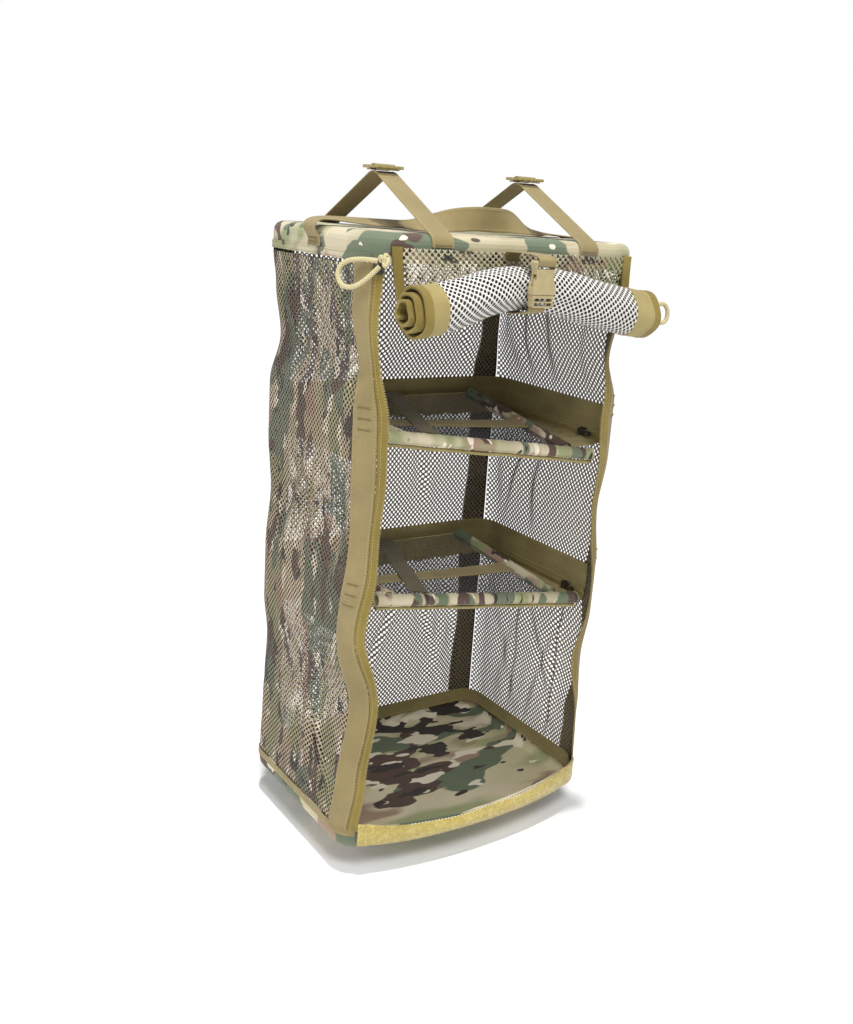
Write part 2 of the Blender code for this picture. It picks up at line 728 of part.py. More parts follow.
def buckle_female():
    """Socket: a hollow moulding with a mouth, two side windows and the slot for its strap."""
    seam = Vector((BUCKLE_X, buckle_y(), level(BUCKLE_SEAM)))
    body = place("buckle_female", plate_mesh(female_outline(), BUCKLE_DEPTH), moulded(), False)
    body.location = seam
    mouth = BUCKLE_WIDTH / 2 - 0.0021
    shapes = (
        ((-mouth, -0.0028, -0.001), (mouth, 0.0028, 0.0185)),
        ((-BUCKLE_WIDTH, -0.0019, 0.0075), (BUCKLE_WIDTH, 0.0019, 0.0165)),
        ((-BUCKLE_STRAP / 2 - 0.0005, -BUCKLE_DEPTH, 0.0235), (BUCKLE_STRAP / 2 + 0.0005, BUCKLE_DEPTH, 0.0273)),
    )
    for low, high in shapes:
        helper = cut_or_join(body, box_mesh(low, high), "DIFFERENCE")
        helper.location = seam
    edge = body.modifiers.new("edge", "BEVEL")
    edge.width = 0.0005
    edge.segments = 1
    edge.limit_method = "ANGLE"


def arm_outline(side):
    """One springy arm with its arrow head, in XZ, that latches in the socket's window."""
    outer = BUCKLE_WIDTH / 2 - 0.0021 - BUCKLE_CLEARANCE
    inner = outer - 0.0024
    points = [
        (inner, -0.002), (outer - 0.0004, -0.002), (outer - 0.0010, 0.0070), (outer, 0.0078),
        (outer, 0.0115), (outer - 0.0030, 0.0165), (inner - 0.0016, 0.0165), (inner - 0.0010, 0.0070),
    ]
    return [(side * x, z) for x, z in points]


def buckle_male():
    """Plug: a base with two strap slots, a middle guide and two latching arms, one moulding."""
    seam = Vector((BUCKLE_X, buckle_y(), level(BUCKLE_SEAM)))
    half = BUCKLE_WIDTH / 2
    base = [
        (-half + 0.0006, -0.0004), (half - 0.0006, -0.0004), (half - 0.0006, -MALE_BASE + 0.0015),
        (half - 0.0021, -MALE_BASE), (-half + 0.0021, -MALE_BASE), (-half + 0.0006, -MALE_BASE + 0.0015),
    ]
    body = place("buckle_male", plate_mesh(base, BUCKLE_DEPTH - 0.002), moulded(), False)
    body.location = seam
    guide = [(-0.0016, -0.002), (0.0016, -0.002), (0.0012, 0.0160), (-0.0012, 0.0160)]
    tongues = [guide, arm_outline(1), arm_outline(-1)]
    for points in tongues:
        helper = cut_or_join(body, plate_mesh(points, 0.0042), "UNION")
        helper.location = seam
    for low, high in ((-0.0062, -0.0034), (-0.0104, -0.0076)):
        slot = box_mesh((-BUCKLE_STRAP / 2 - 0.0005, -BUCKLE_DEPTH, low), (BUCKLE_STRAP / 2 + 0.0005, BUCKLE_DEPTH, high))
        helper = cut_or_join(body, slot, "DIFFERENCE")
        helper.location = seam


def door_straps():
    """The strap that holds the roll: a short tab to the socket, and a long one round to the plug."""
    y = buckle_y()
    seam = level(BUCKLE_SEAM)
    across = Vector((1, 0, 0))
    thin = WEBBING_THICKNESS * 0.8
    face = -(DEPTH / 2 + FABRIC + GAP * 2 + DOOR_TAPE_THICKNESS / 2 + thin / 2)
    tab_y = y + BUCKLE_DEPTH / 2 + GAP + thin / 2
    slot = 0.0254
    # Up from its seam on the hanging door, out over the roll, through the socket's slot and back behind it
    tab = [
        (face, level(0.5985)), (face, level(0.6040)), (face - 0.0040, level(0.6078)),
        (y + 0.0250, level(0.6085)), (y + 0.0080, level(0.6080)), (y - 0.0015, level(0.6070)),
        (y - BUCKLE_DEPTH / 2 - GAP - thin / 2 - 0.0010, seam + FEMALE_LENGTH + 0.0008),
        (y - BUCKLE_DEPTH / 2 - GAP - thin / 2, seam + slot + 0.0016),
        (y, seam + slot), (tab_y - 0.0004, seam + slot + 0.0006),
        (tab_y + 0.0012, seam + FEMALE_LENGTH - 0.0020),
    ]
    line = [Vector((BUCKLE_X, a, b)) for a, b in tab]
    ribbon("door_strap_upper", line, [across] * len(line), BUCKLE_STRAP, thin, khaki())
    centre, radius = roll_centre(BUCKLE_X)
    belly = radius + DOOR_TAPE_THICKNESS / 2 + 0.0016
    inside = -(DEPTH / 2 - 0.0018)
    low = centre.z - belly
    loop = [
        (inside, level(WALL_HEIGHT) - GAP), (inside, centre.z), (inside - 0.0008, low + 0.0080),
        (inside - 0.0075, low + 0.0008), (centre.y + 0.008, low - 0.0006), (centre.y, low - 0.0006),
        (centre.y - 0.010, low + 0.0008), (y + 0.0054, low + 0.0040), (y + BUCKLE_DEPTH / 2 + 0.0004, seam - 0.0148),
        (y + BUCKLE_DEPTH / 2 + 0.0002, seam - 0.0114),
    ]
    line = [Vector((BUCKLE_X, a, b)) for a, b in loop]
    ribbon("door_strap_lower", line, [across] * len(line), BUCKLE_STRAP, thin, khaki())


def shelf_height(band_top, x, y):
    """Height of a shelf's sagging floor: level at the back, its front right corner hanging low."""
    back = band_top - (0.018 if band_top > 0.35 else 0.013)
    front_middle = band_top - (0.033 if band_top > 0.35 else 0.015)
    tilt = -0.135
    t = (FLOOR_BACK_Y - y) / (FLOOR_BACK_Y - FRONT_BAR_Y)
    return back + (front_middle + tilt * x - back) * t


def sleeve(name, start, end, material):
    """A cloth sleeve: a tube with an open bore for its rod."""
    along = (end - start).normalized()
    bm = bmesh.new()
    turn = Vector((0, 0, 1)).rotation_difference(along).to_matrix()
    rings = []
    for place_at in (start, end):
        for radius in (SLEEVE_RADIUS, SLEEVE_RADIUS - SLEEVE_WALL):
            ring = []
            for k in range(12):
                a = 2 * math.pi * k / 12
                ring.append(bm.verts.new(place_at + turn @ Vector((radius * math.cos(a), radius * math.sin(a), 0))))
            rings.append(ring)
    outer_a, inner_a, outer_b, inner_b = rings
    for one, other in ((outer_a, outer_b), (outer_b, inner_b), (inner_b, inner_a), (inner_a, outer_a)):
        for i in range(12):
            j = (i + 1) % 12
            bm.faces.new((one[i], one[j], other[j], other[i]))
    bmesh.ops.recalc_face_normals(bm, faces=bm.faces)
    return place(name, bm, material)


def shelf_frame(level_name, top):
    """The framed edge of one shelf: camouflage sleeves with their rods, and the front piping."""
    def at(x, y, up=0.0):
        return Vector((x, y, level(shelf_height(top, x, y) + up)))

    front = (at(-FRONT_BAR_HALF_LENGTH, FRONT_BAR_Y), at(FRONT_BAR_HALF_LENGTH, FRONT_BAR_Y))
    near = FRONT_BAR_Y + 2 * SLEEVE_RADIUS + GAP
    far = FLOOR_BACK_Y - 0.003
    left = (at(-FLOOR_HALF_WIDTH, near), at(-FLOOR_HALF_WIDTH, far))
    right = (at(FLOOR_HALF_WIDTH, near), at(FLOOR_HALF_WIDTH, far))
    for name, (start, end) in (("front", front), ("left", left), ("right", right)):
        sleeve(f"{level_name}_{name}_sleeve", start, end, camouflage())
        inset = (end - start).normalized() * 0.002
        tube(f"{level_name}_{name}_rod", [start + inset, end - inset], ROD_RADIUS, moulded())
    drop = Vector((0, 0, -(SLEEVE_RADIUS + GAP * 2 + PIPING_RADIUS)))
    line = [front[0] + drop, front[1] + drop]
    tube(f"{level_name}_front_piping", line, PIPING_RADIUS, khaki())


def shelf_band(level_name, top):
    """The band sewn round three walls, the zip along its foot and the flange down to the floor."""
    reach = SIDE_END + 0.006
    ring = outline_columns(-reach, reach)
    inward = -(FABRIC / 2 + GAP * 3 + BAND_THICKNESS / 2)
    rows = [[on_outline(s, h, inward) for s in ring] for h in (top - BAND_HEIGHT, top)]
    sheet(f"{level_name}_wall_band", rows, BAND_THICKNESS, olive())
    inward -= BAND_THICKNESS / 2 + GAP + CHAIN_THICKNESS / 2
    chain_top = top - BAND_HEIGHT
    rows = [[on_outline(s, h, inward) for s in ring] for h in (chain_top - CHAIN_HEIGHT, chain_top)]
    sheet(f"{level_name}_zip_chain", rows, CHAIN_THICKNESS, gold())
    flange_top = chain_top - CHAIN_HEIGHT - 0.0034
    knee_height = flange_top - 0.0020
    inner_x = FLOOR_HALF_WIDTH + SLEEVE_RADIUS + 0.0012
    near = FRONT_BAR_Y + 0.020
    flat = [SIDE_START + (SIDE_END - SIDE_START) * t for t in (0.33, 0.66)]
    ring = sorted([*ring, *flat, *(-s for s in flat), *(s * BACK_END for s in (-0.6, 0.6))])
    rows = [[], [], []]
    for s in ring:
        outer = on_outline(s, flange_top, inward)
        knee = on_outline(s, knee_height, inward - KNEE_INSET)
        x = max(-inner_x, min(inner_x, knee.x))
        y = max(near, min(FLOOR_BACK_Y + 0.0015, knee.y))
        rows[0].append(outer)
        rows[1].append(knee)
        rows[2].append(Vector((x, y, level(shelf_height(top, x, y)))))
    sheet(f"{level_name}_flange", rows, FABRIC, olive())


def shelf_floor(level_name, top):
    """The net floor between the sleeves and the two webbing straps that lie over it."""
    half = FLOOR_HALF_WIDTH - SLEEVE_RADIUS - 0.0008
    near = FRONT_BAR_Y + SLEEVE_RADIUS + 0.0008
    far = FLOOR_BACK_Y - 0.002
    rows = []
    for y in spread(near, far, NET_ROWS + 1):
        rows.append([
            Vector((x, y, level(shelf_height(top, x, y)))) for x in spread(-half, half, NET_COLUMNS + 1)
        ])
    bm = grid(rows)
    bm.normal_update()
    inset = bmesh.ops.inset_individual(bm, faces=bm.faces[:], thickness=NET_STRAND / 2)
    rims = set(inset["faces"])
    holes = [f for f in bm.faces if f not in rims]
    bmesh.ops.delete(bm, geom=holes, context="FACES")
    thicken(place(f"{level_name}_net_floor", bm, mesh_cloth()), NET_THICKNESS)
    lift = NET_THICKNESS / 2 + GAP * 4 + WEBBING_THICKNESS / 2
    rows = []
    for y in (CROSS_STRAP_Y - WEBBING / 2, CROSS_STRAP_Y + WEBBING / 2):
        rows.append([
            Vector((x, y, level(shelf_height(top, x, y)) + lift))
            for x in spread(-half + 0.002, half - 0.002, 6)
        ])
    sheet(f"{level_name}_cross_strap", rows, WEBBING_THICKNESS, khaki())
    lift += WEBBING_THICKNESS + GAP * 3
    start = Vector((-0.074, near + 0.003, 0.0))
    end = Vector((-0.002, far - 0.002, 0.0))
    direction = (end - start).normalized()
    across = Vector((direction.y, -direction.x, 0.0))
    rows = []
    for t in spread(0.0, 1.0, 7):
        middle = start.lerp(end, t)
        row = []
        for w in (-LOAD_STRAP / 2, LOAD_STRAP / 2):
            p = middle + across * w
            p.z = level(shelf_height(top, p.x, p.y)) + lift
            row.append(p)
        rows.append(row)
    sheet(f"{level_name}_load_strap", rows, WEBBING_THICKNESS, khaki())


def zip_slider(name, origin, along, out, tab_length):
    """A zip slider with its pull tab: a waisted body on the teeth and a tab that trails along."""
    side = along.cross(out)
    turn = Matrix((side, along, out)).transposed().to_4x4()
    frame = Matrix.Translation(origin) @ turn
    body = [(-0.0045, -0.0060), (0.0045, -0.0060), (0.0052, 0.0010), (0.0030, 0.0065), (-0.0030, 0.0065), (-0.0052, 0.0010)]
    bm = plate_mesh(body, 0.0030)
    bmesh.ops.rotate(bm, cent=(0, 0, 0), matrix=Matrix.Rotation(math.radians(90), 3, "X"), verts=bm.verts)
    bmesh.ops.scale(bm, vec=(1, -1, 1), verts=bm.verts)
    bmesh.ops.recalc_face_normals(bm, faces=bm.faces)
    bmesh.ops.translate(bm, vec=(0, 0, 0.0015), verts=bm.verts)
    slider = place(name, bm, metal(), False)
    slider.matrix_world = frame
    bridge = box_mesh((-0.0012, -0.0045, 0.0020), (0.0012, 0.0045, 0.0050))
    cut_or_join(slider, bridge, "UNION").matrix_world = frame
    tab = box_mesh((-0.0026, -0.0030 - tab_length, 0.0036), (0.0026, 0.0015, 0.0048))
    cut_or_join(slider, tab, "UNION").matrix_world = frame
    return slider


def shelf_slider(level_name, top):
    """The slider of a shelf's zip, on the right wall near the front."""
    inward = FABRIC / 2 + GAP + BAND_THICKNESS + GAP + CHAIN_THICKNESS
    origin = Vector((
        WIDTH / 2 - inward - GAP * 2,
        -(DEPTH / 2 - SHELF_SLIDER_INSET),
        level(top - BAND_HEIGHT - CHAIN_HEIGHT / 2),
    ))
    zip_slider(f"{level_name}_zip_slider", origin, Vector((0, 1, 0)), Vector((-1, 0, 0)), 0.014)


def loop_points(start, out, side, length, width):
    """A drop-shaped cord loop that leaves a point, widens and comes back beside it."""
    points = []
    for k in range(25):
        t = k / 24
        a = 2 * math.pi * t
        reach = length * (0.5 - 0.5 * math.cos(a))
        spread_out = width / 2 * math.sin(a) * (0.25 + 0.75 * math.sin(math.pi * t) ** 2)
        points.append(start + out * reach + side * spread_out)
    return points


def door_zip_and_cords():
    """The left zip slider with its cord pull, and the cord pull that shows at the roll's right end."""
    height = WALL_HEIGHT - 0.003
    reach = -(SIDE_END + eased(LEFT_REACH, height) - 0.004)
    point, out = outline(reach)
    stand_off = slack(height) + FABRIC / 2 + GAP + ZIP_THICKNESS + GAP * 2
    origin = point + out * stand_off + Vector((0, 0, level(height)))
    zip_slider("door_zip_slider", origin, Vector((0, 0, 1)), out, 0.004)
    hang = origin + out * 0.0072 + Vector((0, 0, -0.003))
    away = (Vector((-0.62, 0.52, -0.34)) - out * 0.10).normalized()
    side = Vector((0.30, -0.05, 0.95))
    side = (side - away * side.dot(away)).normalized()
    points = loop_points(hang + away * 0.004, away, side, 0.044, 0.034)
    tube("door_pull_cord", points[2:-2], CORD_RADIUS, khaki(), resolution=1)
    centre, _ = roll_centre(ROLL_RIGHT)
    start = centre + Vector((0.0025, -0.001, 0.0))
    points = loop_points(start, Vector((0.97, -0.2, 0.0)).normalized(), Vector((0.0, 0.10, 0.99)), 0.026, 0.028)
    tube("roll_end_loop", points[2:-2], CORD_RADIUS, khaki(), resolution=1)


def main():
    start_scene()
    roof_cap()
    bottom_tray()
    bindings()
    walls()
    hanging_straps()
    carry_handle()
    rolled_door()
    buckle_female()
    buckle_male()
    door_straps()
    for level_name, top in (("upper", UPPER_BAND_TOP), ("lower", LOWER_BAND_TOP)):
        shelf_band(level_name, top)
        shelf_frame(level_name, top)
        shelf_floor(level_name, top)
        shelf_slider(level_name, top)
    door_zip_and_cords()


main()
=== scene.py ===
"""Looks of the camp storage shelf: cloth, net, webbing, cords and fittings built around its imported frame.

Metres, +Z up, -Y the front with the opening. The origin is on the axis of the bar that the straps
hang from. Heights named below are measured up from the foot of the mesh walls, and distances round
the walls from the middle of the back wall, negative towards the left side.
"""

from __future__ import annotations

import logging
import math
from dataclasses import dataclass, field
from enum import Enum
from typing import Callable, Sequence

import bpy
import numpy as np
from mathutils import Matrix, Vector

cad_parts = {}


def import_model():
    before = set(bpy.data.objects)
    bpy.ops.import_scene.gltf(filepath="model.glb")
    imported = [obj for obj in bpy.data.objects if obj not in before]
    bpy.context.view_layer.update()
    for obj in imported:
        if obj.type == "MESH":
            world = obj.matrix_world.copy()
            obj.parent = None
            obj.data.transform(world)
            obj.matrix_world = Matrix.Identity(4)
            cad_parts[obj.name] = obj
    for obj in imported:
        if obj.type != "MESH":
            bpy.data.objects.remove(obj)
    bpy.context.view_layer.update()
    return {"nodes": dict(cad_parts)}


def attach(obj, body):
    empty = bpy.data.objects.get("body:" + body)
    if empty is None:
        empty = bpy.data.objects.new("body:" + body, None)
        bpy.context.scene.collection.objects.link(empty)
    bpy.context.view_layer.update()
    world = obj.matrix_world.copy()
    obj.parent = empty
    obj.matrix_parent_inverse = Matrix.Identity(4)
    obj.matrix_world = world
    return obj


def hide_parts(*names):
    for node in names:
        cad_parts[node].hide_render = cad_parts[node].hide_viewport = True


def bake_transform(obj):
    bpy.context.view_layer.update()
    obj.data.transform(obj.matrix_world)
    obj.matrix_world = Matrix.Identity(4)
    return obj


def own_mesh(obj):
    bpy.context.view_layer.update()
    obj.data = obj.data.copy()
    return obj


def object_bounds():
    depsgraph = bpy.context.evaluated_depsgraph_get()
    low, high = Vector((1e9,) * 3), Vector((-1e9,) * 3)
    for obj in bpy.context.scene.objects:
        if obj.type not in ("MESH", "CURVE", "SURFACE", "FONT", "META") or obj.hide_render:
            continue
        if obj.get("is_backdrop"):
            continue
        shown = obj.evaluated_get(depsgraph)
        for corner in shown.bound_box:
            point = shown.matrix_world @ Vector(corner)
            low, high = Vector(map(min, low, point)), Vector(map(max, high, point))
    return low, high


Array = np.ndarray
Surface = Callable[[Array, Array, Array], Array]
Colour = tuple[float, float, float]
Piece = bpy.types.Object
Material = bpy.types.Material
Socket = bpy.types.NodeSocket

LOG = logging.getLogger("shelf")
WALLS_FOOT = -0.6575
WALLS_FOLD = (0.0, 0.0, -0.0655)
RIGHT = np.array((1.0, 0.0, 0.0))
UP = np.array((0.0, 0.0, 1.0))
SIDES = ((-1, "left"), (1, "right"))


class Slot(Enum):
    """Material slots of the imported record."""

    WEBBING = "khaki_webbing"
    OLIVE = "olive_tape"
    GOLD = "gold_tape"
    PRINT = "camouflage_cloth"
    MESH = "mesh_cloth"
    PLASTIC = "khaki_plastic"
    METAL = "dark_metal"


def level(height: float | Array) -> float | Array:
    """Z of a height above the foot of the mesh walls."""
    return WALLS_FOOT + height


def eased(table: Sequence[tuple[float, float]], at: Array) -> Array:
    """Reads height and value pairs, smooth between them.

    Args:
        table: Pairs of a height and its value, lowest first.
        at: Heights to read.

    Returns:
        The value at each height.
    """
    heights, values = np.array(table).T
    at = np.clip(at, heights[0], heights[-1])
    k = np.clip(np.searchsorted(heights, at) - 1, 0, len(heights) - 2)
    t = (at - heights[k]) / (heights[k + 1] - heights[k])
    return values[k] + (values[k + 1] - values[k]) * t * t * (3.0 - 2.0 * t)


def unit(vectors: Array) -> Array:
    """Vectors of length one in the same directions."""
    return vectors / np.maximum(np.linalg.norm(vectors, axis=-1, keepdims=True), 1e-12)


def smooth_path(points: Array, steps: int) -> Array:
    """Points along a Catmull-Rom curve through a route's own points.

    Args:
        points: The route, one row a point.
        steps: Stretches between each pair of its points.

    Returns:
        The curve's points, the route's ends included.
    """
    ends = np.vstack([2 * points[0] - points[1], points, 2 * points[-1] - points[-2]])
    path = []
    for a, b, c, d in zip(ends, ends[1:], ends[2:], ends[3:]):
        for t in np.arange(steps) / steps:
            path.append(
                0.5 * (2 * b + (c - a) * t + (2 * a - 5 * b + 4 * c - d) * t**2
                       + (3 * b - a - 3 * c + d) * t**3)
            )
    return np.vstack([*path, points[-1]])


def resample(points: Array, step: float, *others: Array) -> list[Array]:
    """Evenly spaced points along a line.

    Args:
        points: The line, one row a point.
        step: Wanted distance between two points.
        others: Further rows that go with the points, such as their directions.

    Returns:
        The new points, then each of the others read at them.
    """
    run = np.concatenate([[0.0], np.cumsum(np.linalg.norm(np.diff(points, axis=0), axis=1))])
    at = np.linspace(0.0, run[-1], max(2, round(run[-1] / step) + 1))
    tables = (points, *others)
    return [np.stack([np.interp(at, run, rows[:, k]) for k in range(3)], axis=1) for rows in tables]


def make_mesh(
    name: str,
    points: Array,
    faces: Sequence[tuple[Array, int]],
    maps: dict[str, Array] | None = None,
    smooth: bool = True,
) -> Piece:
    """Makes a mesh object from whole arrays.

    Args:
        name: The piece's name.
        points: Corner points, one row a point.
        faces: Groups of faces with as many corners each, and the material slot of each group.
        maps: UV maps by name, one row for each face corner in the groups' order.
        smooth: Whether its faces are shaded smooth.

    Returns:
        The object, linked to the scene.
    """
    corners = np.concatenate([group.ravel() for group, _ in faces])
    sizes = np.concatenate([np.full(len(group), group.shape[1]) for group, _ in faces])
    slots = np.concatenate([np.full(len(group), slot) for group, slot in faces])
    mesh = bpy.data.meshes.new(name)
    mesh.vertices.add(len(points))
    mesh.vertices.foreach_set("co", np.ascontiguousarray(points, np.float32).ravel())
    mesh.loops.add(len(corners))
    mesh.loops.foreach_set("vertex_index", corners.astype(np.int32))
    mesh.polygons.add(len(sizes))
    mesh.polygons.foreach_set("loop_start", (np.cumsum(sizes) - sizes).astype(np.int32))
    mesh.polygons.foreach_set("material_index", slots.astype(np.int32))
    mesh.update(calc_edges=True)
    for map_name, rows in (maps or {}).items():
        layer = mesh.uv_layers.new(name=map_name)
        layer.data.foreach_set("uv", np.ascontiguousarray(rows, np.float32).ravel())
    if smooth:
        mesh.shade_smooth()
        mesh.set_sharp_from_angle(angle=math.radians(50))
    obj = bpy.data.objects.new(name, mesh)
    bpy.context.scene.collection.objects.link(obj)
    return obj


def volume(points: Array, faces: Array) -> float:
    """Signed volume inside closed faces with as many corners each."""
    total = 0.0
    a = points[faces[:, 0]]
    for k in range(1, faces.shape[1] - 1):
        total += float((a * np.cross(points[faces[:, k]], points[faces[:, k + 1]])).sum()) / 6.0
    return total


def sweep(name: str, rings: Array, looped: bool = False) -> Piece:
    """Makes a body through rings of points, closed at both ends or running round into itself.

    Args:
        name: The piece's name.
        rings: Points by ring, by place round the ring, by axis.
        looped: Whether the last ring joins the first.

    Returns:
        The object, with a UV map in metres along and round it.
    """
    count, around = rings.shape[:2]
    index = np.arange(count * around).reshape(count, around)
    if looped:
        index = np.vstack([index, index[:1]])
        rings = np.concatenate([rings, rings[:1]])
    right = np.roll(index, -1, axis=1)
    quads = np.stack([index[:-1], right[:-1], right[1:], index[1:]], axis=-1).reshape(-1, 4)
    along = np.concatenate([[0.0], np.cumsum(np.linalg.norm(np.diff(rings.mean(1), axis=0), axis=1))])
    side = np.linalg.norm(np.roll(rings, -1, axis=1) - rings, axis=2).mean(0)
    round_it = np.concatenate([[0.0], np.cumsum(side)])
    flat = np.stack(np.meshgrid(along, round_it, indexing="ij"), axis=-1)
    weave = np.stack([flat[:-1, :-1], flat[:-1, 1:], flat[1:, 1:], flat[1:, :-1]], axis=2).reshape(-1, 4, 2)
    points = rings[:count].reshape(-1, 3)
    groups: list[tuple[Array, int]] = [(quads, 0)]
    if not looped:
        groups.append((np.stack([index[0][::-1], index[-1]]), 0))
    if sum(volume(points, group) for group, _ in groups) < 0:
        groups = [(group[:, ::-1], slot) for group, slot in groups]
        weave = weave[:, ::-1]
    ends = np.zeros((0 if looped else 2 * around, 2))
    return make_mesh(name, points, groups, {"weave": np.vstack([weave.reshape(-1, 2), ends])})


def slab(name: str, grid: Array, thickness: float) -> Piece:
    """Makes a thin closed sheet about a grid of points, with a UV map in metres.

    Args:
        name: The piece's name.
        grid: Points by row, by column, by axis.
        thickness: The sheet's thickness.

    Returns:
        The object.
    """
    out = unit(np.cross(np.gradient(grid, axis=0), np.gradient(grid, axis=1))) * thickness / 2
    rows, columns = grid.shape[:2]
    index = np.arange(rows * columns).reshape(rows, columns)
    border = np.concatenate([index[0, :-1], index[:-1, -1], index[-1, :0:-1], index[:0:-1, 0]])
    top = np.stack([index[:-1, :-1], index[1:, :-1], index[1:, 1:], index[:-1, 1:]], axis=-1).reshape(-1, 4)
    after = np.roll(border, -1)
    lift = rows * columns
    edge = np.stack([border, after, after + lift, border + lift], axis=-1)
    quads = np.vstack([top, top[:, ::-1] + lift, edge])
    points = np.vstack([(grid + out).reshape(-1, 3), (grid - out).reshape(-1, 3)])
    if volume(points, quads) < 0:
        quads = quads[:, ::-1]
    along = np.linalg.norm(np.diff(grid, axis=0), axis=2).mean(1).cumsum()
    across = np.linalg.norm(np.diff(grid, axis=1), axis=2).mean(0).cumsum()
    u, v = np.meshgrid(np.concatenate([[0.0], along]), np.concatenate([[0.0], across]), indexing="ij")
    flat = np.tile(np.stack([u.ravel(), v.ravel()], axis=1), (2, 1))
    return make_mesh(name, points, [(quads, 0)], {"weave": flat[quads.ravel()]})


def scatter(
    name: str, shape: Array, faces: Sequence[tuple[Array, int]], origins: Array, axes: Array
) -> Piece:
    """Makes one mesh of many copies of a small shape.

    Args:
        name: The piece's name.
        shape: Points of the small shape.
        faces: Its groups of faces with their slots.
        origins: Where each copy goes.
        axes: Three axes for each copy, one row an axis, with their lengths.

    Returns:
        The object.
    """
    points = origins[:, None] + np.einsum("vk,nkd->nvd", shape, axes)
    shift = np.arange(len(origins))[:, None, None] * len(shape)
    groups = [((group[None] + shift).reshape(-1, group.shape[1]), slot) for group, slot in faces]
    return make_mesh(name, points.reshape(-1, 3), groups)


def blocks(
    name: str,
    middles: Array,
    axes: Array,
    root: Sequence[float] = (1.0, 1.0, 1.0),
    tip: Sequence[float] = (1.0, 1.0, 1.0),
) -> Piece:
    """Sets a small tapered block at each point, as a zip's teeth are set.

    Args:
        name: The piece's name.
        middles: Where each block goes.
        axes: Three half axes for each.
        root: Shares of the half axes at the near end of the first one.
        tip: The same at its far end.

    Returns:
        The object.
    """
    signs = np.array([(x, y, z) for x in (-1, 1) for y in (-1, 1) for z in (-1, 1)], float)
    quads = np.array([(0, 1, 3, 2), (4, 6, 7, 5), (0, 4, 5, 1), (2, 3, 7, 6), (0, 2, 6, 4), (1, 5, 7, 3)])
    if np.linalg.det(axes[0]) < 0:
        quads = quads[:, ::-1]
    return scatter(name, signs * np.where(signs[:, :1] > 0, tip, root), [(quads, 0)], middles, axes)


def webbing_profile() -> Array:
    """Cross-section of webbing as shares of its width and thickness: flat, with a rounded selvedge."""
    half = [(-0.5, 0.0), (-0.485, 0.40), (-0.45, 0.5), (-0.41, 0.40), (-0.2, 0.42), (0.0, 0.44)]
    top = half + [(-w, t) for w, t in reversed(half[:-1])]
    return np.array(top + [(w, -t) for w, t in reversed(top[1:-1])])


def ribbon(name: str, centres: Array, across: Array, width: float, thickness: float) -> Piece:
    """Makes webbing along a line of centres.

    Args:
        name: The piece's name.
        centres: The line, one row a point.
        across: Direction across the webbing, at each point or the same all along.
        width: Its width.
        thickness: Its thickness.

    Returns:
        The object.
    """
    tangent = unit(np.gradient(centres, axis=0))
    across = unit(across - tangent * (across * tangent).sum(1, keepdims=True))
    out = np.cross(tangent, across)
    shape = webbing_profile()
    rings = (
        centres[:, None]
        + across[:, None] * shape[:, :1] * width
        + out[:, None] * shape[:, 1:] * thickness
    )
    return sweep(name, rings)


def tube_rings(path: Array, radius: float | Array, sides: int = 10) -> Array:
    """Rings round a path whose frame turns as little as it can.

    Args:
        path: Centre points, one row a point.
        radius: Radius, the same all along or one for each point.
        sides: Points round each ring.

    Returns:
        Points by ring, by place round it, by axis.
    """
    tangent = unit(np.gradient(path, axis=0))
    side = np.cross(tangent[0], UP)
    if np.linalg.norm(side) < 0.1:
        side = np.cross(tangent[0], RIGHT)
    sides_kept = []
    for direction in tangent:
        side = unit(side - direction * (side @ direction))
        sides_kept.append(side)
    first = np.array(sides_kept)
    second = np.cross(tangent, first)
    a = np.arange(sides) * 2 * math.pi / sides
    radius = np.broadcast_to(radius, len(path))[:, None, None]
    return path[:, None] + radius * (
        first[:, None] * np.cos(a)[:, None] + second[:, None] * np.sin(a)[:, None]
    )


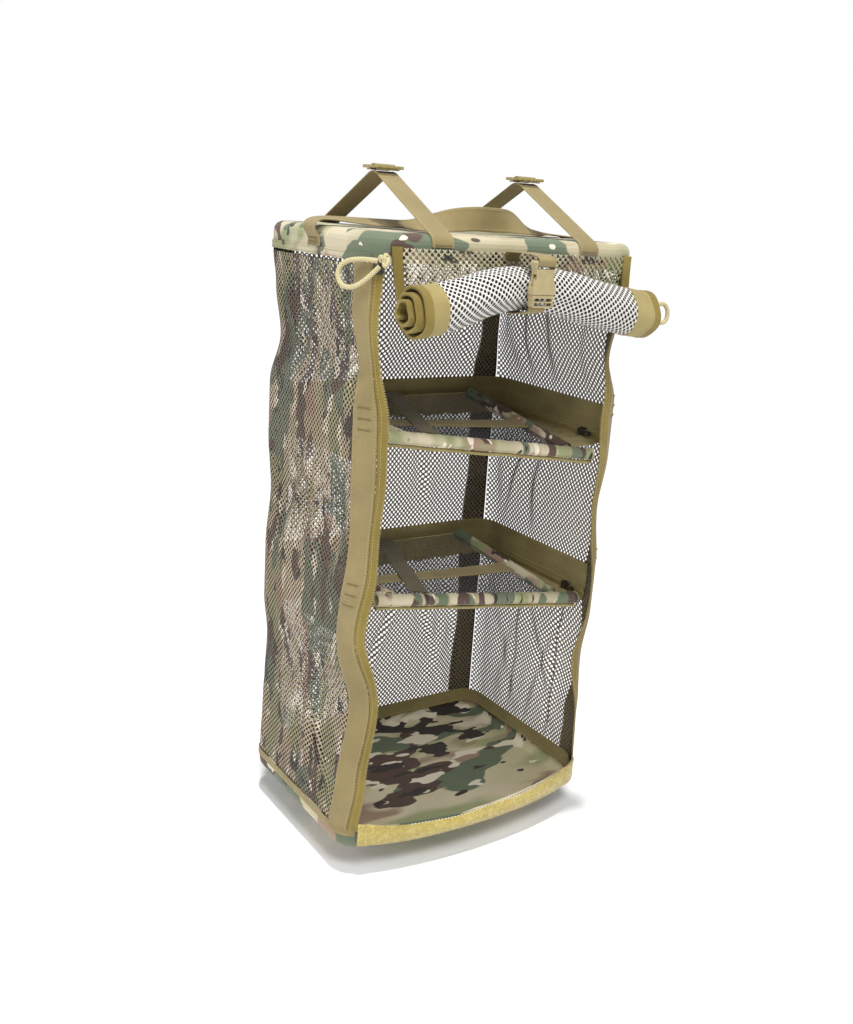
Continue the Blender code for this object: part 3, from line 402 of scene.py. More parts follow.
class Shader:
    """A material's node tree, built from the Principled shader back."""

    def __init__(self, name: str, roughness: float, sheen: float = 0.0, metallic: float = 0.0) -> None:
        """Starts a material.

        Args:
            name: The material's name.
            roughness: Roughness before any variation.
            sheen: Weight of the cloth's sheen.
            metallic: How metallic it is.
        """
        self.material = bpy.data.materials.new(name)
        self.material.use_nodes = True
        self.tree = self.material.node_tree
        self.base = self.tree.nodes["Principled BSDF"]
        self.base.inputs["Roughness"].default_value = roughness
        self.base.inputs["Sheen Weight"].default_value = sheen
        self.base.inputs["Metallic"].default_value = metallic

    def add(self, kind: str, inputs: dict | None = None, **settings: object) -> bpy.types.Node:
        """Adds a node.

        Args:
            kind: Its type without the ShaderNode prefix.
            inputs: Values or sockets by the node's own input name or number.
            settings: The node's properties.

        Returns:
            The node.
        """
        made = self.tree.nodes.new("ShaderNode" + kind)
        for key, value in settings.items():
            setattr(made, key, value)
        for key, value in (inputs or {}).items():
            if isinstance(value, Socket):
                self.tree.links.new(value, made.inputs[key])
            else:
                made.inputs[key].default_value = value
        return made

    def place(
        self,
        scale: Sequence[float] = (1, 1, 1),
        shift: Sequence[float] = (0, 0, 0),
        turn: Sequence[float] = (0, 0, 0),
    ) -> Socket:
        """Object coordinates, scaled, shifted and turned."""
        where = self.add("TexCoord").outputs["Object"]
        inputs = {"Vector": where, "Scale": scale, "Location": shift, "Rotation": turn}
        return self.add("Mapping", inputs).outputs[0]

    def weave(self, turn: float = 0.0) -> Socket:
        """Coordinates in metres along and across a strip."""
        where = self.add("UVMap", uv_map="weave").outputs[0]
        return self.add("Mapping", {"Vector": where, "Rotation": (0, 0, turn)}).outputs[0]

    def noise(self, where: Socket, scale: float, detail: float = 2.0) -> Socket:
        """Noise from 0 to 1."""
        return self.add("TexNoise", {"Vector": where, "Scale": scale, "Detail": detail}).outputs["Fac"]

    def bands(self, where: Socket, pitch: float, direction: str = "X", profile: str = "SIN") -> Socket:
        """Even bands of some pitch in metres."""
        wave = {"Vector": where, "Scale": 2 * math.pi / 20 / pitch, "Distortion": 0.0}
        return self.add("TexWave", wave, bands_direction=direction, wave_profile=profile).outputs["Fac"]

    def math(self, operation: str, *values: object) -> Socket:
        """The result of one operation on numbers or sockets."""
        return self.add("Math", dict(enumerate(values)), operation=operation).outputs[0]

    def step(self, value: Socket, edge: float, soft: float) -> Socket:
        """0 below an edge and 1 above it, with a soft passage."""
        inputs = {"Value": value, "From Min": edge - soft, "From Max": edge + soft}
        return self.add("MapRange", inputs).outputs[0]

    def mix(self, share: object, first: object, second: object, blend: str = "MIX") -> Socket:
        """One colour over another by some share."""
        one, other = ((*c, 1.0) if isinstance(c, tuple) else c for c in (first, second))
        return self.add("Mix", {0: share, 6: one, 7: other}, data_type="RGBA", blend_type=blend).outputs[2]

    def finish(
        self, colour: object, height: object = None, depth: float = 0.0002, roughness: object = None
    ) -> Material:
        """Links the colour, bump and roughness to the shader.

        Args:
            colour: A colour or a socket of one.
            height: Socket of the relief, or None for a smooth surface.
            depth: What a height of one stands for, in metres.
            roughness: Socket that varies the roughness, or None.

        Returns:
            The material.
        """
        if isinstance(colour, tuple):
            self.base.inputs["Base Color"].default_value = (*colour, 1.0)
        else:
            self.tree.links.new(colour, self.base.inputs["Base Color"])
        if height is not None:
            bump = self.add("Bump", {"Height": height, "Distance": depth, "Strength": 1.0})
            self.tree.links.new(bump.outputs[0], self.base.inputs["Normal"])
        if roughness is not None:
            self.tree.links.new(roughness, self.base.inputs["Roughness"])
        return self.material


@dataclass(frozen=True)
class Palette:
    """Colours of the camouflage print, as linear light."""

    ground: Colour = (0.430, 0.385, 0.245)
    sand: Colour = (0.560, 0.495, 0.345)
    sage: Colour = (0.120, 0.152, 0.095)
    moss: Colour = (0.270, 0.290, 0.140)
    clay: Colour = (0.330, 0.225, 0.155)
    brown: Colour = (0.078, 0.044, 0.032)
    dark: Colour = (0.024, 0.017, 0.014)
    cream: Colour = (0.760, 0.690, 0.540)


@dataclass(frozen=True)
class Print:
    """A generic camouflage print of soft clouds and sharp splashes.

    Attributes:
        name: The material's name.
        stretch: How its blotches are pressed along each axis; a low share makes them long.
        shift: Where in the pattern this cloth was cut.
        size: Size of its blotches against the common one.
        net: Whether the cloth is strands of net, which have no weave of their own.
        cover: How much more ground the dark splashes cover; below nought they cover less.
        lean: How fast that cover grows towards the back, for each metre; partly print, partly painted shade
            under the shelves.
        palette: Its colours.
    """

    name: str
    stretch: tuple[float, float, float] = (0.5, 1.0, 1.0)
    shift: tuple[float, float, float] = (0.0, 0.0, 0.0)
    size: float = 1.0
    net: bool = False
    cover: float = 0.0
    lean: float = 0.0
    palette: Palette = Palette()

    def blotches(self, shader: Shader, seed: float, scale: float, edge: float, soft: float) -> Socket:
        """Share of one colour: blotches where noise is over an edge.

        Args:
            shader: The material's node tree.
            seed: Which part of the noise it reads.
            scale: How fine its blotches are.
            edge: Noise above which it shows.
            soft: Half the width of its passage; sharp ones follow the cloth's cover and lean.

        Returns:
            The share, from 0 to 1.
        """
        sharp = soft < 0.01
        where = shader.place(scale=self.stretch, shift=tuple(s + seed for s in self.shift))
        height = shader.noise(where, scale / self.size, 2.0)
        # The lean gathers dark splashes towards the back: partly print, partly painted shade.
        if self.lean and sharp:
            back = shader.add("SeparateXYZ", {0: shader.place()}).outputs["Y"]
            height = shader.math("MULTIPLY_ADD", back, self.lean, height)
        return shader.step(height, edge - self.cover if sharp else edge, soft)

    def material(self) -> Material:
        """Builds the material: clouds of ground colours under sharper splashes."""
        shader = Shader(self.name, 0.78, sheen=0.10)
        p = self.palette
        layers = (
            (1.3, 11.0, 0.500, 0.070, p.sand), (4.7, 15.0, 0.555, 0.040, p.moss),
            (13.9, 19.0, 0.605, 0.030, p.clay), (9.1, 16.0, 0.545, 0.005, p.sage),
            (17.2, 24.0, 0.590, 0.005, p.brown), (23.5, 44.0, 0.635, 0.005, p.cream),
            (31.4, 48.0, 0.640, 0.005, p.dark),
        )
        colour = p.ground
        for seed, scale, edge, soft, ink in layers:
            colour = shader.mix(self.blotches(shader, seed, scale, edge, soft), colour, ink)
        worn = shader.noise(shader.place(), 60.0, 3.0)
        faded = shader.mix(worn, (0.30, 0.28, 0.24), (0.78, 0.74, 0.66))
        colour = shader.mix(0.16, colour, faded, "SOFT_LIGHT")
        if self.net:
            knit = shader.noise(shader.place(), 2600.0, 1.0)
            return shader.finish(colour, knit, 0.00012)
        thread = shader.place(scale=(1, 1, 1), turn=(0.4, 0.3, 0.78))
        weave = shader.math("MULTIPLY", shader.bands(thread, 0.0011), shader.bands(thread, 0.0011, "Z"))
        return shader.finish(colour, weave, 0.00010, shader.math("MULTIPLY_ADD", worn, 0.25, 0.62))


@dataclass(frozen=True)
class WovenFinish:
    """Woven webbing or tape, ribbed across with a chevron twill.

    Attributes:
        name: The material's name.
        colour: Colour of its raised threads.
        shade: Colour between them.
        faded: Colour where it has faded in patches.
        pitch: Distance between two ribs.
        roughness: Its mean roughness.
    """

    name: str
    colour: Colour
    shade: Colour
    faded: Colour
    pitch: float = 0.0014
    roughness: float = 0.82

    def material(self) -> Material:
        """Builds the material."""
        shader = Shader(self.name, self.roughness, sheen=0.12)
        one = shader.bands(shader.weave(0.62), self.pitch, "X", "TRI")
        other = shader.bands(shader.weave(-0.62), self.pitch, "X", "TRI")
        threads = shader.math("MAXIMUM", one, other)
        patch = shader.step(shader.noise(shader.place(), 22.0, 4.0), 0.55, 0.16)
        fine = shader.noise(shader.place(), 900.0, 2.0)
        colour = shader.mix(shader.math("MULTIPLY", threads, 0.75), self.shade, self.colour)
        colour = shader.mix(shader.math("MULTIPLY", patch, 0.45), colour, self.faded)
        colour = shader.mix(0.22, colour, shader.mix(fine, (0.2, 0.2, 0.2), (0.9, 0.9, 0.9)), "OVERLAY")
        gloss = shader.math("MULTIPLY_ADD", fine, 0.2, self.roughness - 0.12)
        return shader.finish(colour, threads, 0.00022, gloss)


@dataclass(frozen=True)
class PileFinish:
    """Fuzzy loop tape: curled pile that catches light unevenly."""

    name: str = "loop_pile"
    colour: Colour = (0.570, 0.450, 0.115)
    deep: Colour = (0.400, 0.300, 0.066)
    light: Colour = (0.700, 0.590, 0.240)

    def material(self) -> Material:
        """Builds the material."""
        shader = Shader(self.name, 0.95, sheen=0.7)
        curls = shader.noise(shader.place(), 520.0, 3.0)
        tufts = shader.noise(shader.place(shift=(3, 1, 2)), 150.0, 2.0)
        colour = shader.mix(shader.step(curls, 0.50, 0.16), self.deep, self.colour)
        tips = shader.math("MULTIPLY", shader.step(tufts, 0.56, 0.10), 0.35)
        colour = shader.mix(tips, colour, self.light)
        return shader.finish(colour, curls, 0.0009)


@dataclass(frozen=True)
class KnitFinish:
    """Plain side of the mesh cloth, or the cut edge of its holes; some copies are darkened as painted
    shade.
    """

    name: str
    colour: Colour
    shade: Colour
    sheen: float = 0.15

    def material(self) -> Material:
        """Builds the material."""
        shader = Shader(self.name, 0.80, sheen=self.sheen)
        knit = shader.noise(shader.place(), 2400.0, 2.0)
        cloud = shader.noise(shader.place(), 14.0, 3.0)
        colour = shader.mix(shader.math("MULTIPLY", knit, cloud), self.colour, self.shade)
        return shader.finish(colour, knit, 0.00014)


@dataclass(frozen=True)
class CordFinish:
    """Braided cord: two sets of threads that cross round it."""

    name: str = "braided_cord"
    colour: Colour = (0.560, 0.480, 0.260)
    shade: Colour = (0.270, 0.215, 0.095)
    pitch: float = 0.0021

    def material(self) -> Material:
        """Builds the material."""
        shader = Shader(self.name, 0.72, sheen=0.3)
        one = shader.bands(shader.weave(0.78), self.pitch)
        other = shader.bands(shader.weave(-0.78), self.pitch)
        braid = shader.math("MAXIMUM", one, other)
        fuzz = shader.noise(shader.place(), 1500.0, 2.0)
        colour = shader.mix(shader.step(braid, 0.45, 0.4), self.shade, self.colour)
        colour = shader.mix(0.3, colour, shader.mix(fuzz, (0.3, 0.3, 0.3), (0.85, 0.85, 0.85)), "OVERLAY")
        return shader.finish(colour, braid, 0.0003)


@dataclass(frozen=True)
class MouldedFinish:
    """Moulded plastic with a fine spark-eroded grain and rubbed high spots."""

    name: str
    colour: Colour
    worn: Colour
    roughness: float = 0.42

    def material(self) -> Material:
        """Builds the material."""
        shader = Shader(self.name, self.roughness)
        grain = shader.noise(shader.place(), 3200.0, 2.0)
        rub = shader.step(shader.noise(shader.place(), 130.0, 4.0), 0.58, 0.12)
        colour = shader.mix(shader.math("MULTIPLY", rub, 0.4), self.colour, self.worn)
        gloss = shader.math("MULTIPLY_ADD", grain, 0.22, self.roughness - 0.1)
        return shader.finish(colour, grain, 0.00005, gloss)


@dataclass(frozen=True)
class MetalFinish:
    """Painted metal, its paint rubbed to bare metal in specks."""

    name: str
    paint: Colour
    bare: Colour

    def material(self) -> Material:
        """Builds the material."""
        shader = Shader(self.name, 0.38, metallic=0.75)
        rub = shader.step(shader.noise(shader.place(), 420.0, 5.0), 0.60, 0.05)
        dents = shader.noise(shader.place(), 700.0, 2.0)
        colour = shader.mix(rub, self.paint, self.bare)
        return shader.finish(colour, dents, 0.00006, shader.math("MULTIPLY_ADD", dents, 0.3, 0.25))


class Wardrobe:
    """Every finish of the shelf, each made once."""

    def __init__(self) -> None:
        """Builds the materials."""
        self.prints()
        self.weaves()
        self.fittings()

    def prints(self) -> None:
        """Builds the printed cloths and the plain sides of the nets."""
        knitted = Palette(
            ground=(0.330, 0.262, 0.165), sand=(0.430, 0.345, 0.240), sage=(0.128, 0.142, 0.092),
            moss=(0.250, 0.235, 0.120), clay=(0.300, 0.196, 0.134), brown=(0.090, 0.055, 0.040),
            dark=(0.032, 0.022, 0.018), cream=(0.620, 0.535, 0.420),
        )
        moulded = Palette(
            ground=(0.560, 0.500, 0.320), sand=(0.640, 0.570, 0.400), moss=(0.340, 0.360, 0.180)
        )
        self.walls = Print(
            "wall_print", (1.0, 1.0, 0.42), (2.1, 0.4, 5.3), 0.66, True, palette=knitted
        ).material()
        self.door = Print("door_print", (0.6, 1.0, 1.0), (7.7, 3.3, 1.1), net=True).material()
        self.roof = Print("roof_print", (0.55, 1.0, 1.0), (5.2, 8.8, 2.4), 0.85, cover=-0.035).material()
        # The tray's print darkens towards the back, partly as painted shade under the shelves.
        self.tray = Print(
            "tray_print", (0.42, 1.0, 1.0), (3.9, 6.1, 9.7), cover=0.010, lean=0.75, palette=moulded
        ).material()
        self.sleeves = {
            "upper": Print("upper_sleeve_print", (1.3, 0.6, 0.4), (1.7, 2.9, 4.4), 1.1).material(),
            "lower": Print("lower_sleeve_print", (2.2, 0.8, 0.4), (6.2, 0.7, 1.8), 1.1).material(),
        }
        knit = KnitFinish
        # The walls' plain side is painted shade: the door's pale cloth, darkened as inside the cabinet.
        self.mesh_inside_painted_shade = knit("mesh_inside_painted_shade", (0.240, 0.190, 0.112), (0.150, 0.114, 0.064)).material()
        self.door_inside = knit("door_inside", (0.760, 0.745, 0.700), (0.560, 0.530, 0.470)).material()
        # Hole edges, also used on the roll's inner turns: painted shade, near black.
        self.hole_edge_painted_shade = knit("hole_edge_painted_shade", (0.095, 0.080, 0.062), (0.050, 0.042, 0.032)).material()
        self.net_floor = knit(
            "net_floor_knit", (0.022, 0.022, 0.026), (0.012, 0.012, 0.015), 0.0
        ).material()

    def weaves(self) -> None:
        """Builds the webbings, tapes, pile and cord."""
        self.khaki = WovenFinish(
            "khaki_weave", (0.322, 0.250, 0.104), (0.154, 0.114, 0.042), (0.370, 0.292, 0.132)
        ).material()
        self.olive = WovenFinish(
            "olive_weave", (0.370, 0.300, 0.118), (0.130, 0.102, 0.037), (0.450, 0.370, 0.160)
        ).material()
        self.shaded = WovenFinish(
            "shaded_weave", (0.036, 0.026, 0.018), (0.014, 0.010, 0.008), (0.048, 0.035, 0.025)
        ).material()
        self.gold = WovenFinish(
            "gold_weave", (0.262, 0.190, 0.030), (0.130, 0.090, 0.013), (0.360, 0.275, 0.058), pitch=0.0011
        ).material()
        self.pale_tape = WovenFinish(
            "pale_tape_weave", (0.390, 0.312, 0.112), (0.210, 0.160, 0.050), (0.480, 0.396, 0.176),
            pitch=0.0012,
        ).material()
        self.load = WovenFinish(
            "load_weave", (0.135, 0.105, 0.046), (0.060, 0.045, 0.019), (0.185, 0.148, 0.070)
        ).material()
        self.pile = PileFinish().material()
        self.cord = CordFinish().material()

    def fittings(self) -> None:
        """Builds the threads, the plastic and the metal."""
        self.thread = MouldedFinish(
            "sewing_thread", (0.420, 0.335, 0.150), (0.500, 0.420, 0.220), 0.6
        ).material()
        self.dark_thread = MouldedFinish(
            "bar_tack_thread", (0.175, 0.128, 0.050), (0.240, 0.180, 0.080), 0.6
        ).material()
        self.white_thread = MouldedFinish(
            "white_thread", (0.800, 0.780, 0.700), (0.900, 0.880, 0.820), 0.6
        ).material()
        self.plastic = MouldedFinish(
            "moulded_khaki", (0.400, 0.325, 0.160), (0.510, 0.430, 0.240)
        ).material()
        self.teeth = MouldedFinish(
            "zip_teeth", (0.300, 0.235, 0.080), (0.420, 0.345, 0.150), 0.35
        ).material()
        self.slide = MetalFinish("slide_paint", (0.330, 0.265, 0.095), (0.560, 0.470, 0.230)).material()
        self.metal = MetalFinish(
            "zip_slider_paint", (0.060, 0.054, 0.046), (0.340, 0.310, 0.250)
        ).material()


def dress(
    obj: Piece,
    body: str,
    slot: Slot,
    materials: Sequence[Material],
    stands_for: Sequence[str] = (),
    fold: Sequence[float] | None = None,
) -> Piece:
    """Gives a piece its materials and its place in the moving frame.

    Args:
        obj: The piece.
        body: The body it rides on.
        slot: The record's material slot; not used.
        materials: Its materials in slot order.
        stands_for: CAD nodes that it replaces.
        fold: A point, or None; when given, the piece gets a mesh of its own.

    Returns:
        The same piece.
    """
    for material in materials:
        obj.data.materials.append(material)
    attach(obj, body)
    if stands_for:
        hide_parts(*stands_for)
    if fold is not None:
        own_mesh(obj)
        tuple(fold)
    LOG.info("built %s on %s, %d faces", obj.name, body, len(obj.data.polygons))
    return obj


@dataclass(frozen=True)
class Cabinet:
    """Plan, heights and slack of the mesh walls, which most other pieces are sewn to.

    Attributes:
        seam_reach: How far a webbing's two rows of stitches are from its middle.
        binding_past_side: How far the bindings of roof and tray reach past the ends of the sides.
        closing_rise: Height of the closing band's two ends.
        front_bow: How far the tray's front bows out in the middle.
        front_dip: How far its edge sags there.
        fold_depth: Depth of a fold of the hanging cloth.
        fold_limit: Depth that folds together don't pass.
        folds: Number of folds in each bay.
        fold_shapes: Least and most slant, width, depth and bend of a fold.
    """

    width: float = 0.326
    depth: float = 0.230
    height: float = 0.592
    corner: float = 0.028
    fabric: float = 0.0012
    gap: float = 0.0003
    tray_rim: float = 0.006
    tray_depth: float = 0.020
    cap_height: float = 0.028
    cap_fillet: float = 0.010
    zip_tape: float = 0.0090
    webbing: float = 0.025
    webbing_thickness: float = 0.0016
    seam_reach: float = 0.0103
    tack_length: float = 0.018
    binding: float = 0.008
    binding_thickness: float = 0.0010
    binding_past_side: float = 0.016
    closing_rise: float = 0.0165
    upper_band: float = 0.444
    lower_band: float = 0.257
    door_top: float = 0.608
    front_bow: float = 0.013
    front_dip: float = 0.007
    fold_depth: float = 0.0048
    fold_limit: float = 0.0065
    folds: int = 22
    fold_shapes: tuple[tuple[float, ...], ...] = ((-0.5, 0.004, 0.30, -0.02), (0.5, 0.011, 1.0, 0.02))

    @property
    def face(self) -> float:
        """How far what lies on the walls' outer face starts off their middle."""
        return self.fabric / 2 + self.gap

    @property
    def foot(self) -> float:
        """Height at which the hanging cloth starts."""
        return self.tray_rim + self.gap

    @property
    def back_end(self) -> float:
        """Where the back wall turns into a corner."""
        return self.width / 2 - self.corner

    @property
    def side_start(self) -> float:
        """Where a side wall's flat begins."""
        return self.back_end + self.corner * math.pi / 2

    @property
    def back_corner(self) -> float:
        """The middle of a back corner, where two walls are sewn together."""
        return (self.back_end + self.side_start) / 2

    @property
    def side_end(self) -> float:
        """Where a side wall turns into the front corner."""
        return self.side_start + self.depth - 2 * self.corner

    @property
    def front_start(self) -> float:
        """Where the front face begins."""
        return self.side_end + self.corner * math.pi / 2

    def outline(self, distance: Array) -> tuple[Array, Array]:
        """Plan of the walls.

        Args:
            distance: Distances round them.

        Returns:
            Points and outward directions, both flat in Z.
        """
        side, d = np.where(distance < 0, -1.0, 1.0), np.abs(distance)
        x_arc, y_arc, r = self.width / 2 - self.corner, self.depth / 2 - self.corner, self.corner
        back, front = (d - self.back_end) / r, (d - self.side_end) / r
        where = [d <= self.back_end, d <= self.side_start, d <= self.side_end, d <= self.front_start]
        x = [d, x_arc + r * np.sin(back), self.width / 2, x_arc + r * np.cos(front)]
        flat = y_arc - (d - self.side_start)
        y = [self.depth / 2, y_arc + r * np.cos(back), flat, -y_arc - r * np.sin(front)]
        x, y = np.select(where, x, x_arc - (d - self.front_start)), np.select(where, y, -self.depth / 2)
        out_x = np.select(where, [0.0, np.sin(back), 1.0, np.cos(front)], 0.0)
        out_y = np.select(where, [1.0, np.cos(back), 0.0, -np.sin(front)], -1.0)
        zero = np.zeros_like(x)
        return np.stack([side * x, y, zero], axis=-1), np.stack([side * out_x, out_y, zero], axis=-1)

    def drawn_in(self, height: Array) -> Array:
        """How far the slack wall draws in between the shelves."""
        table = ((0.0, 0.0), (0.08, 0.003), (0.15, 0.005), (0.205, 0.0), (0.262, 0.0), (0.33, 0.005),
                 (0.392, 0.0), (0.45, 0.0), (0.5, 0.011), (0.555, 0.004), (self.height, 0.0))
        return eased(table, height)

    def reach(self, side: int, height: Array) -> Array:
        """How far the left wall's (-1) or the right wall's (1) front edge wraps round its corner."""
        left = ((0.0, 0.031), (0.06, 0.038), (0.145, 0.049), (0.225, 0.029), (0.3, 0.038),
                (0.38, 0.041), (0.44, 0.040), (0.53, 0.025), (0.6, 0.029))
        right = ((0.0, 0.0215), (0.06, 0.024), (0.15, 0.045), (0.232, 0.028), (0.3, 0.038),
                 (0.37, 0.041), (0.435, 0.046), (0.525, 0.032), (0.6, 0.028))
        return eased(left if side < 0 else right, height)

    def bow(self, x: Array) -> Array:
        """Share of the tray's bowed front at places along it: all in the middle, none at the corners."""
        return np.maximum(0.0, 1 - (x / (self.width / 2 - self.corner)) ** 2)

    def creases(self, distance: Array, height: Array) -> Array:
        """Folds of the hanging cloth, in bays between the rows where something is sewn to it.

        Args:
            distance: Distances round the walls.
            height: Heights.

        Returns:
            How far each point stands out of the slack wall.
        """
        source = np.random.default_rng(41)
        total = np.zeros(np.broadcast(distance, height).shape)
        bays = ((0.006, self.lower_band - 0.045), (self.lower_band + 0.004, self.upper_band - 0.045),
                (self.upper_band + 0.004, self.height))
        for low, high in bays:
            bay = np.clip((height - low) / (high - low), 0.0, 1.0)
            swell = np.sin(math.pi * bay) ** 0.7
            for start in source.uniform(-0.43, 0.43, self.folds):
                slant, wide, deep, bend = source.uniform(*self.fold_shapes)
                near = distance - start - slant * (bay - 0.5) * (high - low) - bend * np.sin(math.pi * bay)
                fold = np.exp(-((near / wide) ** 2)) - 0.6 * np.exp(-(((near - 1.7 * wide) / wide) ** 2))
                total += self.fold_depth * deep * fold * swell
        away = np.abs(np.abs(distance) - (self.side_start + self.side_end) / 2)
        calm = np.clip((away - 0.055) / 0.05, 0.0, 1.0) * (np.abs(distance) > self.back_end)
        return np.tanh(total / self.fold_limit) * self.fold_limit * (1.0 - 0.85 * calm)

    def wall(self, distance: Array, height: Array, offset: Array) -> Array:
        """Points beside the hanging wall, its slack and folds included."""
        point, out = self.outline(distance)
        stand = self.creases(distance, height) - self.drawn_in(height) + offset
        return point + out * stand[..., None] + level(height)[..., None] * UP

    def taut(self, distance: Array, height: Array, offset: Array) -> Array:
        """Points beside the taut outline, where the roof, the tray and the shelf bands are."""
        point, out = self.outline(distance)
        return point + out * np.asarray(offset)[..., None] + level(height)[..., None] * UP

    def ring(self, past_left: float, past_right: float, step: float = 0.004) -> Array:
        """Even distances round the three walls, to some way past the end of each side."""
        start, end = -self.side_end - past_left, self.side_end + past_right
        return np.linspace(start, end, max(2, round((end - start) / step) + 1))


@dataclass
class Assembly:
    """What each sub-assembly is made from: the cabinet's sizes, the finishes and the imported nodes."""

    cabinet: Cabinet
    finishes: Wardrobe
    nodes: dict[str, Piece]

    def paint(self, node: str, material: Material) -> None:
        """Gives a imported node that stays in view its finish."""
        self.nodes[node].data.materials[0] = material


def strip(
    name: str,
    surface: Surface,
    along: Array,
    edges: tuple[Array | float, Array | float],
    offset: float,
    thickness: float,
    upright: bool = False,
) -> Piece:
    """Makes tape or webbing that lies on a surface.

    Args:
        name: The piece's name.
        surface: Gives points for distances, heights and offsets.
        along: Distances of a level strip, or heights of an upright one.
        edges: Where its two edges are across that line.
        offset: How far its middle stands off the surface.
        thickness: Its thickness.
        upright: Whether it runs up the wall.

    Returns:
        The object.
    """
    shape = webbing_profile()
    low, high = (np.broadcast_to(edge, along.shape)[:, None] for edge in edges)
    across = low + (high - low) * (shape[:, 0] + 0.5)
    run = np.broadcast_to(along[:, None], across.shape)
    stand = np.broadcast_to(offset + thickness * shape[:, 1], across.shape)
    return sweep(name, surface(across, run, stand) if upright else surface(run, across, stand))


@dataclass
class Seams:
    """Rows of stitches that one mesh holds.

    Attributes:
        name: The mesh's name.
        body: The body it rides on.
        thread: Its material.
        fold: A point handed on to dress, or None.
        slot: The record's material slot.
        pitch: Distance between two stitches.
        length: A stitch's share of that distance.
        wide: Half its width.
        tack_pitch: Distance between two stitches of a bar tack.
        tack_stitch: Length and half width of such a stitch.
        origins: Middles of the stitches kept so far.
        axes: Their axes.
    """

    name: str
    body: str
    thread: Material
    fold: Sequence[float] | None = None
    slot: Slot = Slot.WEBBING
    pitch: float = 0.0034
    length: float = 0.72
    wide: float = 0.00030
    tack_pitch: float = 0.0007
    tack_stitch: tuple[float, float] = (0.0022, 0.00042)
    origins: list[Array] = field(default_factory=list)
    axes: list[Array] = field(default_factory=list)

    def add(self, points: Array, along: Array, out: Array, length: float, wide: float) -> None:
        """Keeps stitches at some points.

        Args:
            points: Middle of each stitch.
            along: Its direction.
            out: Direction out of the cloth.
            length: Its length.
            wide: Half its width.
        """
        along = unit(along)
        out = unit(out - along * (out * along).sum(1, keepdims=True))
        self.origins.append(points)
        axes = [along * length / 2, np.cross(out, along) * wide, out * wide * 0.8]
        self.axes.append(np.stack(axes, axis=1))

    def line(self, points: Array, out: Array) -> None:
        """Sews a row along free points, with the direction out of the cloth at each or for all."""
        even, away = resample(points, self.pitch, np.broadcast_to(out, points.shape))
        self.add(even, np.gradient(even, axis=0), away, self.pitch * self.length, self.wide)

    def row(self, surface: Surface, distance: Array, height: Array | float, offset: float) -> None:
        """Sews a row along a line on a surface.

        Args:
            surface: Gives points for distances, heights and offsets.
            distance: Distances of the line's points.
            height: Their heights, or one for all.
            offset: How far the stitches stand off the surface.
        """
        distance, height = np.broadcast_arrays(distance, height)
        stand = np.full(distance.shape, offset)
        points = surface(distance, height, stand)
        self.line(points, surface(distance, height, stand + 0.001) - points)

    def edges(self, centres: Array, across: Array, out: Array, reach: float) -> None:
        """Sews a row near each edge of a webbing.

        Args:
            centres: The line of the webbing's outer face.
            across: Direction across it.
            out: Direction out of it.
            reach: How far the rows are from its middle.
        """
        for shift in (-reach, reach):
            self.line(centres + across * shift, out)

    def bar(self, centre: Array, along: Array, out: Array, length: float) -> None:
        """Sews a dense bar tack of short crossing stitches.

        Args:
            centre: Its middle.
            along: Its direction.
            out: Direction out of the cloth.
            length: Its length.
        """
        count = round(length / self.tack_pitch)
        steps = np.linspace(-length / 2, length / 2, count)[:, None]
        lean = np.where(np.arange(count) % 2, 0.25, -0.25)[:, None]
        spots = centre + along * steps
        across = np.cross(out, along) + along * lean
        self.add(spots, across, np.tile(out, (count, 1)), *self.tack_stitch)

    def build(self) -> Piece:
        """Makes the mesh of all stitches kept so far."""
        around = [(0.0, 1.0, 0.0), (0.0, 0.0, 1.0), (0.0, -1.0, 0.0), (0.0, 0.0, -1.0)]
        rings = [np.array(around) + (x, 0.0, 0.0) for x in (-0.55, 0.55)]
        shape = np.vstack([(-1.0, 0.0, -0.4), *rings, (1.0, 0.0, -0.4)])
        k = np.arange(4)
        after = (k + 1) % 4
        sides = np.stack([1 + k, 1 + after, 5 + after, 5 + k], axis=-1)
        first = np.stack([np.zeros(4, int), 1 + after, 1 + k], axis=-1)
        last = np.stack([np.full(4, 9), 5 + k, 5 + after], axis=-1)
        faces = [(sides, 0), (np.vstack([first, last]), 0)]
        obj = scatter(self.name, shape, faces, np.vstack(self.origins), np.vstack(self.axes))
        return dress(obj, self.body, self.slot, [self.thread], fold=self.fold)


